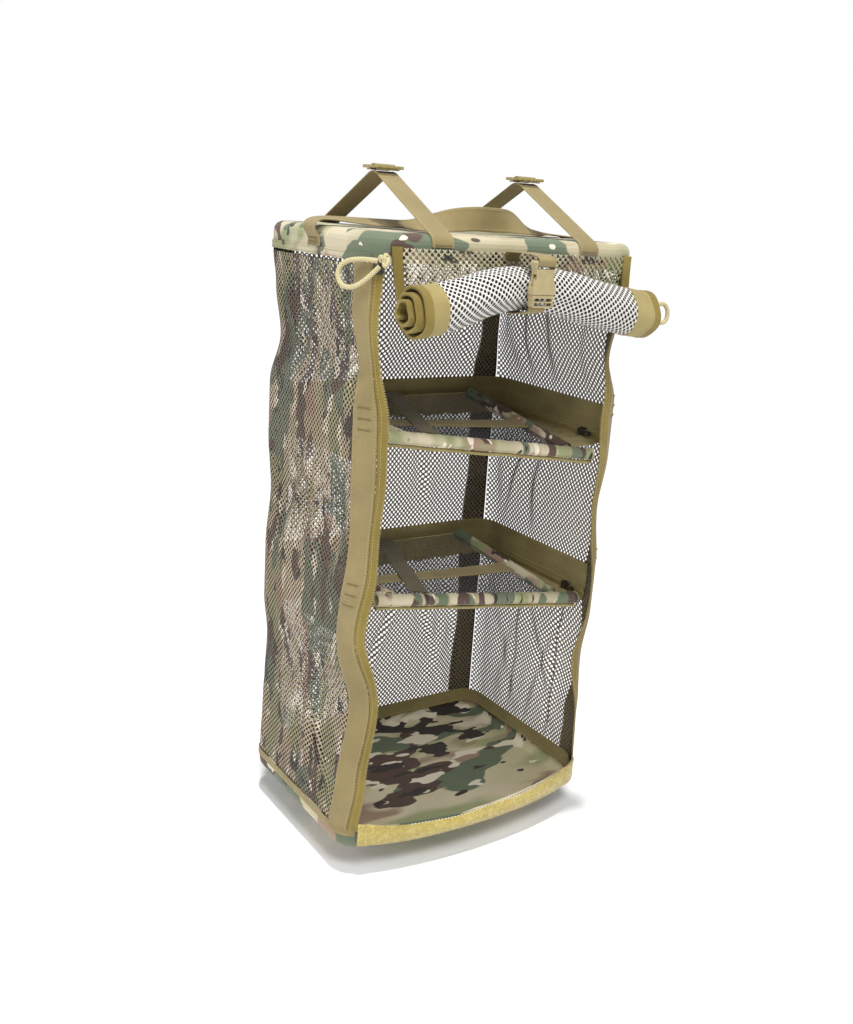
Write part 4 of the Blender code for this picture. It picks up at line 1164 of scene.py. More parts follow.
@dataclass
class NetCloth:
    """Mesh cloth with real holes in a staggered lattice, printed on one face and plain on the other.

    Attributes:
        name: The piece's name.
        surface: Gives points for two lattice coordinates in metres and an offset to the printed side.
        size: Extent of the two coordinates, from nought.
        period: Distance between two holes of one row, and of one column.
        hole: Half the width and half the height of a hole.
        thickness: The cloth's thickness.
        dark_from: How far up the plain side takes the painted shade of the hole edges, on the inner turns
            of a roll.
    """

    name: str
    surface: Surface
    size: tuple[float, float]
    period: tuple[float, float] = (0.0059, 0.0066)
    hole: tuple[float, float] = (0.00158, 0.00178)
    thickness: float = 0.0009
    dark_from: float = math.inf

    def lattice(self) -> tuple[Array, Array, Array]:
        """Numbers the holes.

        Returns:
            The lattice numbers of the holes, and for each layer face its corner numbers: the
            strands between two holes, then the knots between four.
        """
        columns, rows = (int(extent / period * 2) for extent, period in zip(self.size, self.period))
        j, i = np.meshgrid(np.arange(rows + 1), np.arange(columns + 1))
        kept = (i + j) % 2 == 0
        number = np.full((columns + 1, rows + 1), -1)
        number[kept] = np.arange(kept.sum())
        spot, odd = (np.stack([i[chosen], j[chosen]], axis=-1) for chosen in (kept, ~kept))

        def at(di: int, dj: int, base: Array) -> Array:
            """Numbers of the holes at a step from some places, or -1."""
            x, y = base[:, 0] + di, base[:, 1] + dj
            inside = (x >= 0) & (x <= columns) & (y >= 0) & (y <= rows)
            return np.where(inside, number[np.clip(x, 0, columns), np.clip(y, 0, rows)], -1)

        here = np.arange(len(spot))
        strands = []
        for di, corner in ((1, 0), (-1, 2)):
            other = at(di, 1, spot)
            has = other >= 0
            a, b, far = here[has] * 8, other[has] * 8, corner + 4
            strands.append(np.stack([a + corner + 1, a + corner, b + (far + 1) % 8, b + far], axis=-1))
        around = np.stack([at(di, dj, odd) for di, dj in ((-1, 0), (0, 1), (1, 0), (0, -1))])
        left, above, right, below = around[:, (around >= 0).all(0)] * 8
        knots = [left + 7, left, above + 5, above + 6, right + 3, right + 4, below + 1, below + 2]
        return spot, np.vstack(strands), np.stack(knots[::-1], axis=-1)

    def build(self) -> Piece:
        """Makes the mesh: two layers, joined round every hole and along the border.

        Returns:
            The object, its slots being the printed face, the plain face and the hole edges, with a flat map
            named OFBake.
        """
        spot, strands, knots = self.lattice()
        a = (np.arange(8) * 45 + 22.5) * math.pi / 180
        middle = spot * np.array(self.period) / 2
        ring = np.stack([np.cos(a), np.sin(a)], axis=-1) * np.array(self.hole) * 1.06
        flat = (middle[:, None] + ring).reshape(-1, 2)
        inner = (middle[:, None] + ring * 0.5).reshape(-1, 2)
        count = len(flat)
        half = np.full(count, self.thickness / 2)
        points = np.vstack([self.surface(flat[:, 0], flat[:, 1], side * half) for side in (1, -1)])
        pairs = [np.stack([faces, np.roll(faces, -1, axis=1)], axis=-1) for faces in (strands, knots)]
        edges = np.vstack([pair.reshape(-1, 2) for pair in pairs])
        key = np.sort(edges, axis=1) @ np.array([count, 1])
        _, first, uses = np.unique(key, return_index=True, return_counts=True)
        start, end = edges[first[uses == 1]].T
        rim = np.stack([end, start, start + count, end + count], axis=-1)
        groups = [(strands, 0), (knots, 0)]
        for faces in (strands, knots):
            # Inner turns past dark_from get slot 2, the painted shade of the hole edges.
            shaded = flat[faces[:, 0], 1] > self.dark_from
            groups += [(faces[~shaded, ::-1] + count, 1), (faces[shaded, ::-1] + count, 2)]
        groups = [(faces, slot) for faces, slot in groups if len(faces)]
        span = np.array(self.size) + 0.01
        scale = 0.98 / max(2 * span[0], span[1])
        front, lining = (flat + 0.002) * scale, (inner + 0.002) * scale
        places = np.vstack([front, front + (span[0] * scale, 0.0)])
        rows = [places[faces.ravel()] for faces, _ in groups]
        rows.append(np.stack([front[end], front[start], lining[start], lining[end]], axis=1).reshape(-1, 2))
        return make_mesh(self.name, points, [*groups, (rim, 2)], {"OFBake": np.vstack(rows)}, smooth=False)


@dataclass
class FineNet:
    """Dark net of fine crossing threads.

    Attributes:
        name: The piece's name.
        surface: Gives points for two flat coordinates and an offset off the net.
        size: Extent of the two coordinates, from nought.
        pitch: Distance between two threads.
        thread: A thread's width.
        steps: Stretches of each thread.
    """

    name: str
    surface: Surface
    size: tuple[float, float]
    pitch: float = 0.0031
    thread: float = 0.00036
    steps: int = 14

    def threads(self, along: int) -> Array:
        """Rings of the threads that run along one of the two coordinates.

        Args:
            along: Which coordinate, 0 or 1.

        Returns:
            Points by thread, by ring, by corner, by axis.
        """
        count = round(self.size[1 - along] / self.pitch)
        beside = np.linspace(0.0, self.size[1 - along], count + 1)
        run = np.linspace(0.0, self.size[along], self.steps + 1)
        corners = np.array([(-1, -1), (1, -1), (1, 1), (-1, 1)]) * self.thread / 2
        shift = self.thread * 0.4 * (1 if along else -1)
        across = np.broadcast_to(beside[:, None, None] + corners[:, 0], (count + 1, self.steps + 1, 4))
        lengthwise = np.broadcast_to(run[None, :, None], across.shape)
        lift = np.broadcast_to(corners[:, 1] + shift, across.shape)
        u, v = (across, lengthwise) if along else (lengthwise, across)
        return self.surface(u, v, lift)

    def build(self) -> Piece:
        """Makes the mesh of all threads."""
        points, quads, ends, base = [], [], [], 0
        for along in (0, 1):
            rings = self.threads(along)
            count, flat = len(rings), rings.reshape(-1, 3)
            index = np.arange(count * (self.steps + 1) * 4).reshape(count, self.steps + 1, 4) + base
            after = np.roll(index, -1, axis=2)
            sides = np.stack([index[:, :-1], after[:, :-1], after[:, 1:], index[:, 1:]], axis=-1)
            sides = sides.reshape(-1, 4)
            caps = np.vstack([index[:, 0, ::-1], index[:, -1]])
            if volume(flat, sides - base) + volume(flat, caps - base) < 0:
                sides, caps = sides[:, ::-1], caps[:, ::-1]
            points.append(flat)
            quads.append(sides)
            ends.append(caps)
            base += index.size
        return make_mesh(self.name, np.vstack(points), [(np.vstack([*quads, *ends]), 0)], smooth=False)


@dataclass
class Walls(Assembly):
    """Three mesh walls, the upright webbings on their corners and the half zips of the opening."""

    corner_webbing: float = 0.030
    front_wrap: float = 0.034
    tape_thickness: float = 0.0018
    webbing_inset: float = 0.0022
    tape_inset: float = 0.0060
    tooth_pitch: float = 0.0026
    tooth: tuple[float, float, float] = (0.0012, 0.0008, 0.0009)
    tooth_tip: tuple[float, float, float] = (1.0, 0.7, 0.75)
    tack_length: float = 0.0130
    tack_heights: tuple[float, ...] = (0.458, 0.4475, 0.437, 0.280, 0.2685, 0.257)

    def net(self, name: str, side: int) -> None:
        """Makes one wall.

        Args:
            name: The wall's name, in its own name and in that of the CAD node it stands for.
            side: -1 for the left wall, 1 for the right and 0 for the back.
        """
        c, f = self.cabinet, self.finishes
        tall = c.height - c.foot
        wide = c.side_end - c.back_corner + self.front_wrap if side else 2 * c.back_corner

        def surface(u: Array, v: Array, offset: Array) -> Array:
            """Points of the wall for its flat coordinates."""
            height = c.foot + v
            if side == 0:
                return c.wall(u - c.back_corner, height, offset)
            end = c.side_end + c.reach(side, height) - 0.002
            return c.wall(side * (c.back_corner + u / wide * (end - c.back_corner)), height, offset)

        piece = NetCloth(f"net_{name}", surface, (wide, tall)).build()
        cloths = [f.walls, f.mesh_inside_painted_shade, f.hole_edge_painted_shade]
        dress(piece, "cabinet", Slot.MESH, cloths, [f"wall_{name}"], WALLS_FOLD)

    def edge(self, side: int, heights: Array) -> Array:
        """Distance of a side wall's front edge from the middle of the back."""
        return self.cabinet.side_end + self.cabinet.reach(side, heights)

    def uprights(self, side: int, name: str, seams: Seams) -> None:
        """Makes one side's corner webbings and half zip, and sews them.

        Args:
            side: -1 for the left and 1 for the right.
            name: The side's name.
            seams: Takes the rows of stitches.
        """
        c, f = self.cabinet, self.finishes
        heights = np.linspace(c.foot, c.height, 150)
        outside, tape = c.face + c.webbing_thickness / 2, c.face + self.tape_thickness / 2
        edge = self.edge(side, heights)
        end = edge - c.zip_tape - c.gap
        back, thick = c.back_corner - self.corner_webbing, c.webbing_thickness
        front_edges, back_edges = (end - c.webbing, end), (back, c.back_corner - c.gap)
        tape_edges = (edge - c.zip_tape, edge)
        strips = (
            ("front_webbing", "corner_webbing_front", front_edges, outside, thick, f.khaki, Slot.WEBBING),
            ("back_webbing", "corner_webbing_back", back_edges, outside, thick, f.shaded, Slot.WEBBING),
            ("opening_tape", "opening_zip", tape_edges, tape, self.tape_thickness, f.gold, Slot.GOLD),
        )
        for piece_name, node, (first, last), stand, thickness, material, slot in strips:
            edges = (side * first, side * last)
            piece = strip(f"{piece_name}_{name}", c.wall, heights, edges, stand, thickness, upright=True)
            dress(piece, "cabinet", slot, [material], [f"{node}_{name}"], WALLS_FOLD)
        rows = [end - inset for inset in (self.webbing_inset, c.webbing - self.webbing_inset)]
        rows += [back + (c.back_corner - back) * share for share in (0.08, 0.92)]
        for row in rows:
            seams.row(c.wall, side * row, heights, c.face + thick)
        seams.row(c.wall, side * (edge - self.tape_inset), heights, c.face + self.tape_thickness)
        self.teeth(f"opening_teeth_{name}", side, heights)

    def tack(self, tacks: Seams, side: int, height: float) -> None:
        """Sews a bar tack across a front webbing.

        Args:
            tacks: Takes it.
            side: -1 for the left and 1 for the right.
            height: Its height.
        """
        c = self.cabinet
        high, stand = np.array([height]), c.face + c.webbing_thickness
        middle = side * (self.edge(side, high) - c.zip_tape - c.webbing / 2)
        spots = ((0.0, 0.0), (0.001, 0.0), (0.0, 0.001))
        points = [c.wall(middle + d, high, np.array([stand + o]))[0] for d, o in spots]
        tacks.bar(points[0], unit(points[1] - points[0]), unit(points[2] - points[0]), self.tack_length)

    def teeth(self, name: str, side: int, heights: Array) -> None:
        """Sets the zip's teeth along the opening's edge.

        Args:
            name: The piece's name.
            side: -1 for the left and 1 for the right.
            heights: Heights of the edge's points.
        """
        c, edge = self.cabinet, self.edge(side, heights)
        offset = np.full(heights.shape, c.face + self.tape_thickness / 2)
        points = c.wall(side * (edge + 0.0003), heights, offset)
        inward = c.wall(side * (edge + 0.001), heights, offset) - points
        out = c.wall(side * (edge + 0.0003), heights, offset + 0.001) - points
        even, inward, out = resample(points, self.tooth_pitch, inward, out)
        directions = np.stack([unit(inward), unit(np.gradient(even, axis=0)), unit(out)], axis=1)
        axes = directions * np.array(self.tooth)[:, None]
        piece = blocks(name, even, axes, tip=self.tooth_tip)
        dress(piece, "cabinet", Slot.GOLD, [self.finishes.teeth], fold=WALLS_FOLD)

    def build(self) -> None:
        """Builds the walls with everything sewn to them."""
        f = self.finishes
        for name, side in (("back", 0), ("left", -1), ("right", 1)):
            self.net(name, side)
        seams = Seams("wall_stitches", "cabinet", f.thread, WALLS_FOLD)
        tacks = Seams("wall_bar_tacks", "cabinet", f.dark_thread, WALLS_FOLD)
        for side, name in SIDES:
            self.uprights(side, name, seams)
            for height in self.tack_heights:
                self.tack(tacks, side, height)
        seams.build()
        tacks.build()


@dataclass
class Roof(Assembly):
    """Cloth-faced roof cap with its binding."""

    def build(self) -> None:
        """Dresses the cap and sews its binding."""
        c, f = self.cabinet, self.finishes
        self.paint("roof_cap", f.roof)
        ring = c.ring(c.binding_past_side, c.binding_past_side)
        offset, low = c.face + c.binding_thickness / 2, c.height + c.gap
        piece = strip("roof_binding", c.taut, ring, (low, low + c.binding), offset, c.binding_thickness)
        dress(piece, "cabinet", Slot.WEBBING, [f.roof], ["cap_binding"])
        seams = Seams("roof_stitches", "cabinet", f.dark_thread)
        for share in (0.2, 0.8):
            seams.row(c.taut, ring, low + c.binding * share, c.face + c.binding_thickness)
        seams.build()


@dataclass
class Tray(Assembly):
    """Moulded tray with its binding, its inside tape and the fuzzy closing band at the front."""

    fillet: float = 0.012
    shell: float = 0.003
    tape: float = 0.0145
    tape_thickness: float = 0.0012
    band_thickness: float = 0.0030
    band_past_side: float = 0.0225
    bulge: float = 0.0040
    tape_clear: float = 0.0105
    hem_reach: float = 0.085
    hem_stitch: tuple[float, float] = (0.0022, 0.0007)

    def band_edges(self, share: Array) -> tuple[Array, Array]:
        """Lower and upper edge of the closing band at shares of the way from the middle to its ends."""
        c = self.cabinet
        rise = share**4
        high = c.tray_rim + (c.closing_rise - c.gap * 4 - c.tray_rim) * rise
        return -c.tray_depth + self.fillet * 0.25 + 0.007 * rise, high

    def closing_band(self) -> None:
        """Makes the fuzzy band: a dense sheet of curled pile that bulges and sags, with a white hem."""
        c, f = self.cabinet, self.finishes
        total, end = c.front_start + c.back_end, c.side_end + self.band_past_side
        half = np.linspace(end + self.tape_clear, total, 240)
        distance = np.concatenate([half, half[::-1][1:], np.linspace(half[0], end, 8)[1:]])
        left = np.arange(len(distance)) < len(half)
        share = (total - distance) / (total - end)
        low, high = self.band_edges(share)
        x_run = np.where(left, distance - total, total - distance)
        sag = 0.0010 * np.sin(x_run * 31.0 + 0.6) + 0.0007 * np.sin(x_run * 73.0)
        calm = np.clip(share, 0.0, 1.0)
        across = np.linspace(0.0, 1.0, 26)
        point, out = c.outline(np.where(left, -distance, distance))
        height = low[:, None] + (high + sag * (1 - calm**2) - low)[:, None] * across
        bulge = self.bulge * np.sin(math.pi * across) * (1 - calm[:, None] ** 4)
        pile = np.random.default_rng(7).normal(0.0, 0.00022, height.shape)
        pile[:, (0, -1)] = 0.0
        stand = c.face + self.band_thickness / 2 + bulge + pile
        grid = point[:, None] + out[:, None] * stand[..., None] + level(height)[..., None] * UP
        bowed = c.bow(grid[..., 0])
        grid[..., 1] -= c.front_bow * bowed
        grid[..., 2] -= c.front_dip * bowed * across
        piece = slab("closing_band", grid, self.band_thickness * 0.8)
        dress(piece, "tray", Slot.GOLD, [f.pile], ["loop_band"])
        hem = Seams("band_hem", "tray", f.white_thread, slot=Slot.GOLD, pitch=0.0042)
        top = grid[np.abs(x_run) < self.hem_reach, -1] + (0.0, -0.0008, 0.0004)
        even, away = resample(top, hem.pitch, np.broadcast_to((0.0, -0.6, 0.8), top.shape))
        hem.add(even, np.gradient(even, axis=0), away, *self.hem_stitch)
        hem.build()
        edge = Seams("band_stitches", "tray", f.thread, slot=Slot.GOLD)
        for row in (3, -4):
            edge.line(grid[:, row] + out * 0.0014, out)
        edge.build()

    def build(self) -> None:
        """Dresses the tray and sews what goes round it."""
        c, f = self.cabinet, self.finishes
        self.paint("bottom_tray", f.tray)
        outside, low = c.face + c.binding_thickness / 2, c.tray_rim - c.binding
        ring = c.ring(c.binding_past_side + 0.014, c.binding_past_side)
        piece = strip("tray_edge_binding", c.taut, ring, (low, c.tray_rim), outside, c.binding_thickness)
        dress(piece, "tray", Slot.WEBBING, [f.khaki], ["tray_binding"])
        inside = -(self.shell + self.tape_thickness / 2)
        ring = c.ring(0.024, 0.024)
        piece = strip("tray_inside_tape", c.taut, ring, (-0.004, self.tape), inside, self.tape_thickness)
        dress(piece, "tray", Slot.OLIVE, [f.olive])
        seams = Seams("tray_stitches", "tray", f.thread)
        seams.row(c.taut, ring, -0.0015, inside - self.tape_thickness / 2)
        seams.row(c.taut, ring, low + 0.0015, c.face + c.binding_thickness)
        seams.build()
        self.closing_band()


@dataclass
class HangingStraps(Assembly):
    """Two webbing straps over the bar, each with its end threaded through a slide on top."""

    offset: float = 0.090
    bar_radius: float = 0.016
    end_thickness: float = 0.0013
    slide_length: float = 0.026
    slide_thickness: float = 0.0030
    slide_bar: float = 0.0055

    def path(self, x: float) -> Array:
        """Centres of a strap: up the cap's face, round its edge, over the bar and down behind.

        Args:
            x: The strap's place along the bar.

        Returns:
            The points, one row each.
        """
        c = self.cabinet
        stand = c.gap + c.webbing_thickness / 2
        y1 = -(c.depth / 2 + c.fabric / 2 - c.cap_fillet)
        z1 = level(c.height + c.cap_height - c.cap_fillet)
        r1, r2 = c.cap_fillet + stand, self.bar_radius + stand
        run = math.atan2(-z1, -y1) + math.asin((r2 - r1) / math.hypot(z1, y1))
        half = [(x, y1 - r1, level(c.door_top + 2 * c.gap))]
        for a in np.linspace(math.pi, math.pi / 2 + run, 10):
            half.append((x, y1 + r1 * math.cos(a), z1 + r1 * math.sin(a)))
        for a in np.linspace(math.pi / 2 + run, math.pi / 2, 12):
            half.append((x, r2 * math.cos(a), r2 * math.sin(a)))
        return np.array(half + [(x, -y, z) for _, y, z in reversed(half[:-1])])

    def threaded_end(self, x: float) -> Array:
        """Centres of the strap's free end, which goes up through the slide and down again."""
        c = self.cabinet
        reach = self.bar_radius + 4 * c.gap + c.webbing_thickness + self.end_thickness
        z = reach + self.slide_thickness / 2
        rise = self.slide_thickness / 2 + c.gap + self.end_thickness / 2
        middle = (self.slide_bar + (self.slide_length - 3 * self.slide_bar) / 2) / 2
        half = [
            (self.slide_bar / 2 + 0.0003, rise), (middle, 0.0), (middle + 0.0014, -rise),
            (self.slide_length * 0.46, -rise),
        ]
        return np.array([(x, -y, z + up) for y, up in reversed(half)] + [(x, y, z + up) for y, up in half])

    def build(self) -> None:
        """Builds both straps, their slides' finish and their stitching."""
        c, f = self.cabinet, self.finishes
        seams = Seams("strap_stitches", "cabinet", f.thread)
        tacks = Seams("strap_bar_tacks", "cabinet", f.dark_thread)
        for side, name in SIDES:
            x = side * self.offset
            centres, = resample(self.path(x), 0.0022)
            piece = ribbon(f"bar_strap_{name}", centres, RIGHT, c.webbing, c.webbing_thickness)
            dress(piece, "cabinet", Slot.WEBBING, [f.khaki], [f"hanging_strap_{name}"])
            end, = resample(self.threaded_end(x), 0.0012)
            piece = ribbon(f"strap_tail_{name}", end, RIGHT, c.webbing * 0.96, self.end_thickness)
            dress(piece, f"{name}_slide", Slot.WEBBING, [f.khaki], [f"strap_end_{name}"])
            self.paint(f"adjuster_{name}", f.slide)
            out = np.cross(unit(np.gradient(centres, axis=0)), RIGHT)
            out *= np.sign(out[:, 2].mean())
            seams.edges(centres + out * c.webbing_thickness / 2, RIGHT, out, c.seam_reach)
            for sign in (-1.0, 1.0):
                y = sign * (c.depth / 2 + c.face + c.webbing_thickness)
                at = np.array((x, y, level(c.door_top + 0.0025)))
                tacks.bar(at, RIGHT, np.array((0.0, sign, 0.0)), c.tack_length)
        seams.build()
        tacks.build()


@dataclass
class CarryHandle(Assembly):
    """Webbing handle sewn to both ends of the cap, which twists up in front of the bar."""

    def route(self) -> tuple[Array, Array]:
        """Line of the handle.

        Returns:
            The points, and the direction across the webbing at each.
        """
        c = self.cabinet
        face = c.width / 2 + c.face + c.webbing_thickness / 2
        drop = 0.008 + 2 * c.gap - c.cap_height
        rows = [
            (-face, 0.0, drop, 0), (-face, 0.0, -0.012, 0), (-0.1705, 0.0, -0.002, 0),
            (-0.1660, 0.0, 0.0050, 0), (-0.1520, -0.001, 0.0070, 5), (-0.1310, -0.003, 0.0065, 10),
            (-0.1000, -0.007, 0.0056, 14), (-0.0690, -0.015, 0.0054, 16), (-0.0545, -0.021, 0.0065, 26),
            (-0.0400, -0.0265, 0.0090, 42), (-0.0150, -0.028, 0.0130, 66), (0.0100, -0.029, 0.0150, 82),
            (0.0300, -0.029, 0.0150, 88), (0.0500, -0.028, 0.0145, 74), (0.0680, -0.026, 0.0115, 48),
            (0.0840, -0.0215, 0.0080, 26), (0.1000, -0.013, 0.0055, 12), (0.1200, -0.006, 0.0040, 4),
            (0.1400, -0.001, 0.0022, 0),
        ]
        bend = c.cap_fillet + c.gap * 2 + c.webbing_thickness / 2
        for a in np.linspace(math.pi / 2, 0.0, 5):
            x = face + c.gap - bend + bend * math.cos(a)
            rows.append((x, 0.0, -c.cap_fillet + bend * math.sin(a), 0))
        rows.append((face + c.gap, 0.0, drop, 0))
        table = np.array(rows)
        table[:, 2] += level(c.height + c.cap_height)
        fine = smooth_path(table, 6)
        tilt = np.radians(fine[:, 3])
        return fine[:, :3], np.stack([np.zeros_like(tilt), np.cos(tilt), np.sin(tilt)], axis=1)

    def build(self) -> None:
        """Builds the handle with its stitching."""
        c, f = self.cabinet, self.finishes
        route, tilt = self.route()
        centres, across = resample(route, 0.0022, tilt)
        piece = ribbon("handle_webbing", centres, across, c.webbing, c.webbing_thickness)
        dress(piece, "cabinet", Slot.WEBBING, [f.khaki], ["carry_handle"])
        tangent = unit(np.gradient(centres, axis=0))
        across = unit(across - tangent * (across * tangent).sum(1, keepdims=True))
        out = np.cross(tangent, across)
        if (out * (0.0, -0.5, 1.0)).sum() < 0:
            out = -out
        seams = Seams("handle_stitches", "cabinet", f.thread)
        seams.edges(centres + out * c.webbing_thickness / 2, across, out, c.seam_reach)
        seams.build()
        tacks = Seams("handle_bar_tacks", "cabinet", f.dark_thread)
        for sign in (-1.0, 1.0):
            x = sign * (c.width / 2 + c.face + c.gap + c.webbing_thickness)
            for up in (0.0115, 0.0160):
                at = np.array((x, 0.0, level(c.height + up)))
                tacks.bar(at, np.array((0.0, 1.0, 0.0)), sign * RIGHT, c.tack_length)
        tacks.build()


@dataclass
class DoorRoll(Assembly):
    """Mesh door rolled up under the roof, with the broad tapes at its two ends."""

    radius: float = 0.026
    core: float = 0.0070
    turns: float = 3.2
    left: float = -0.140
    right: float = 0.151
    left_top: float = -0.146
    right_top: float = 0.148
    tape: float = 0.032
    left_tape: float = 0.0255
    telescope: float = 0.020
    edge: float = 0.011
    rolled_edge: float = 0.0085
    end_height: float = 0.5525
    lift: float = 0.0245
    pinch: float = 0.13
    buckle_x: float = -0.011
    length: float = 0.385
    shade_from: float = 0.205
    tape_thickness: float = 0.0024
    tape_body: float = 0.0031

    @property
    def hang(self) -> float:
        """How far in front of the origin the door hangs."""
        return self.cabinet.depth / 2 + self.cabinet.face + self.tape_thickness / 2

    def centre(self, x: Array) -> tuple[Array, Array]:
        """Middle of the roll at places along it.

        Args:
            x: The places.

        Returns:
            Centre points, and the roll's radius at each.
        """
        end = np.where(x < self.buckle_x, self.left, self.right)
        t = np.minimum(1.0, (x - self.buckle_x) / (end - self.buckle_x))
        lift = self.lift * (0.5 + 0.5 * np.cos(math.pi * t))
        radius = self.radius * (1 - self.pinch * np.exp(-(((x - self.buckle_x) / 0.045) ** 2)))
        return np.stack([x, -self.hang - radius, level(self.end_height + lift)], axis=-1), radius

    def surface(self, x: Array, run: Array, offset: Array) -> Array:
        """Points of the door's cloth.

        Args:
            x: Places along the roll.
            run: Share of the door's length, from the cap to the roll's core.
            offset: How far towards the printed side.

        Returns:
            The points.
        """
        centre, radius = self.centre(x)
        start = level(self.cabinet.door_top)
        fall = start - centre[..., 2]
        core = self.core * radius / self.radius
        mean, slope = (radius + core) / 2, (core - radius) / 2
        share = fall / (fall + 2 * math.pi * self.turns * mean)
        t = np.clip((run - share) / (1 - share), 0.0, 1.0)
        turned = mean * 2 * t / (radius + np.sqrt(np.maximum(radius**2 + 4 * slope * mean * t, 1e-12)))
        a = -2 * math.pi * self.turns * turned
        pull = np.exp(-(((x - self.buckle_x) / 0.050) ** 2))
        bumps = 0.0008 * np.sin(3 * a + 26.0 * x) + 0.0006 * np.sin(5 * a - 61.0 * x)
        bumps = bumps + 0.0013 * pull * np.sin(7 * a + 90.0 * np.abs(x - self.buckle_x))
        r = radius + (core - radius) * turned + bumps * np.clip(turned * 8, 0, 1) - offset
        fallen = start - fall * np.clip(run / share, 0.0, 1.0)
        hung = np.stack([x, -self.hang - offset + 0 * x, fallen], axis=-1)
        rolled = centre + np.stack([0 * x, r * np.cos(a), r * np.sin(a)], axis=-1)
        return np.where((run < share)[..., None], hung, rolled)

    def side_line(self, run: Array, top: float, rolled: float) -> Array:
        """Places along the roll of a lengthwise line; the inner turns slide out at the left.

        Args:
            run: Shares of the door's length.
            top: Its place where the door hangs.
            rolled: Its place on the roll.

        Returns:
            The place at each share.
        """
        t = np.clip(run / 0.22, 0.0, 1.0)
        slid = 0.5 * self.telescope * (1.0 - 2.0 * run) if rolled < 0 else 0.0
        return top + (rolled + slid - top) * t * t * (3 - 2 * t)

    def net(self) -> None:
        """Makes the net between the two tapes."""
        f = self.finishes
        wide = self.right - self.left - self.tape - self.left_tape

        def surface(u: Array, v: Array, offset: Array) -> Array:
            """Points of the net for its flat coordinates."""
            run = v / self.length
            low = self.side_line(run, self.left_top + self.edge, self.left + self.left_tape) - 0.003
            high = self.side_line(run, self.right_top - self.edge, self.right - self.tape) + 0.003
            return self.surface(low + (high - low) * u / wide, run, offset)

        piece = NetCloth("door_net", surface, (wide, self.length), dark_from=self.shade_from).build()
        dress(piece, "cabinet", Slot.MESH, [f.door, f.door_inside, f.hole_edge_painted_shade], ["door_mesh"])

    def end_tape(
        self,
        name: str,
        run: Array,
        edges: tuple[Array, Array],
        material: Material,
        thickness: float,
    ) -> Piece:
        """Makes one lengthwise tape of the door.

        Args:
            name: The piece's name.
            run: Shares of the door's length.
            edges: Where its two edges lie along the roll at each share.
            material: Its finish.
            thickness: Its thickness.

        Returns:
            The tape.
        """
        piece = strip(name, self.surface, run, edges, 0.0, thickness, upright=True)
        return dress(piece, "cabinet", Slot.GOLD, [material])

    def build(self) -> None:
        """Builds the net, the tapes and their stitching."""
        f = self.finishes
        self.net()
        run = np.linspace(0.0, 1.0, 260)
        broad = run > 0.10
        seams = Seams("door_stitches", "cabinet", f.thread, slot=Slot.GOLD)
        ends = (
            (1, "left", self.left_top, self.left, self.left_tape),
            (-1, "right", self.right_top, self.right, self.tape),
        )
        for side, name, top, rolled, tape in ends:
            outer = self.side_line(run, top, rolled)
            rim = self.side_line(run, top + side * self.edge, rolled + side * self.rolled_edge)
            inner = self.side_line(run, top + side * self.edge, rolled + side * tape)
            piece = self.end_tape(f"door_edge_{name}", run, (outer, rim), f.gold, self.tape_body)
            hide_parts(f"door_tape_{name}")
            rim, inner, stretch = rim[broad], inner[broad], run[broad]
            edges = (rim - side * 0.001, inner)
            self.end_tape(f"door_band_{name}", stretch, edges, f.pale_tape, self.tape_body * 0.72)
            for share in (0.10, 0.90):
                line = rim + (inner - rim) * share
                points = self.surface(line, stretch, np.full(stretch.shape, -self.tape_body * 0.36))
                seams.line(points, points - self.surface(line, stretch, np.zeros(stretch.shape)))
        seams.build()


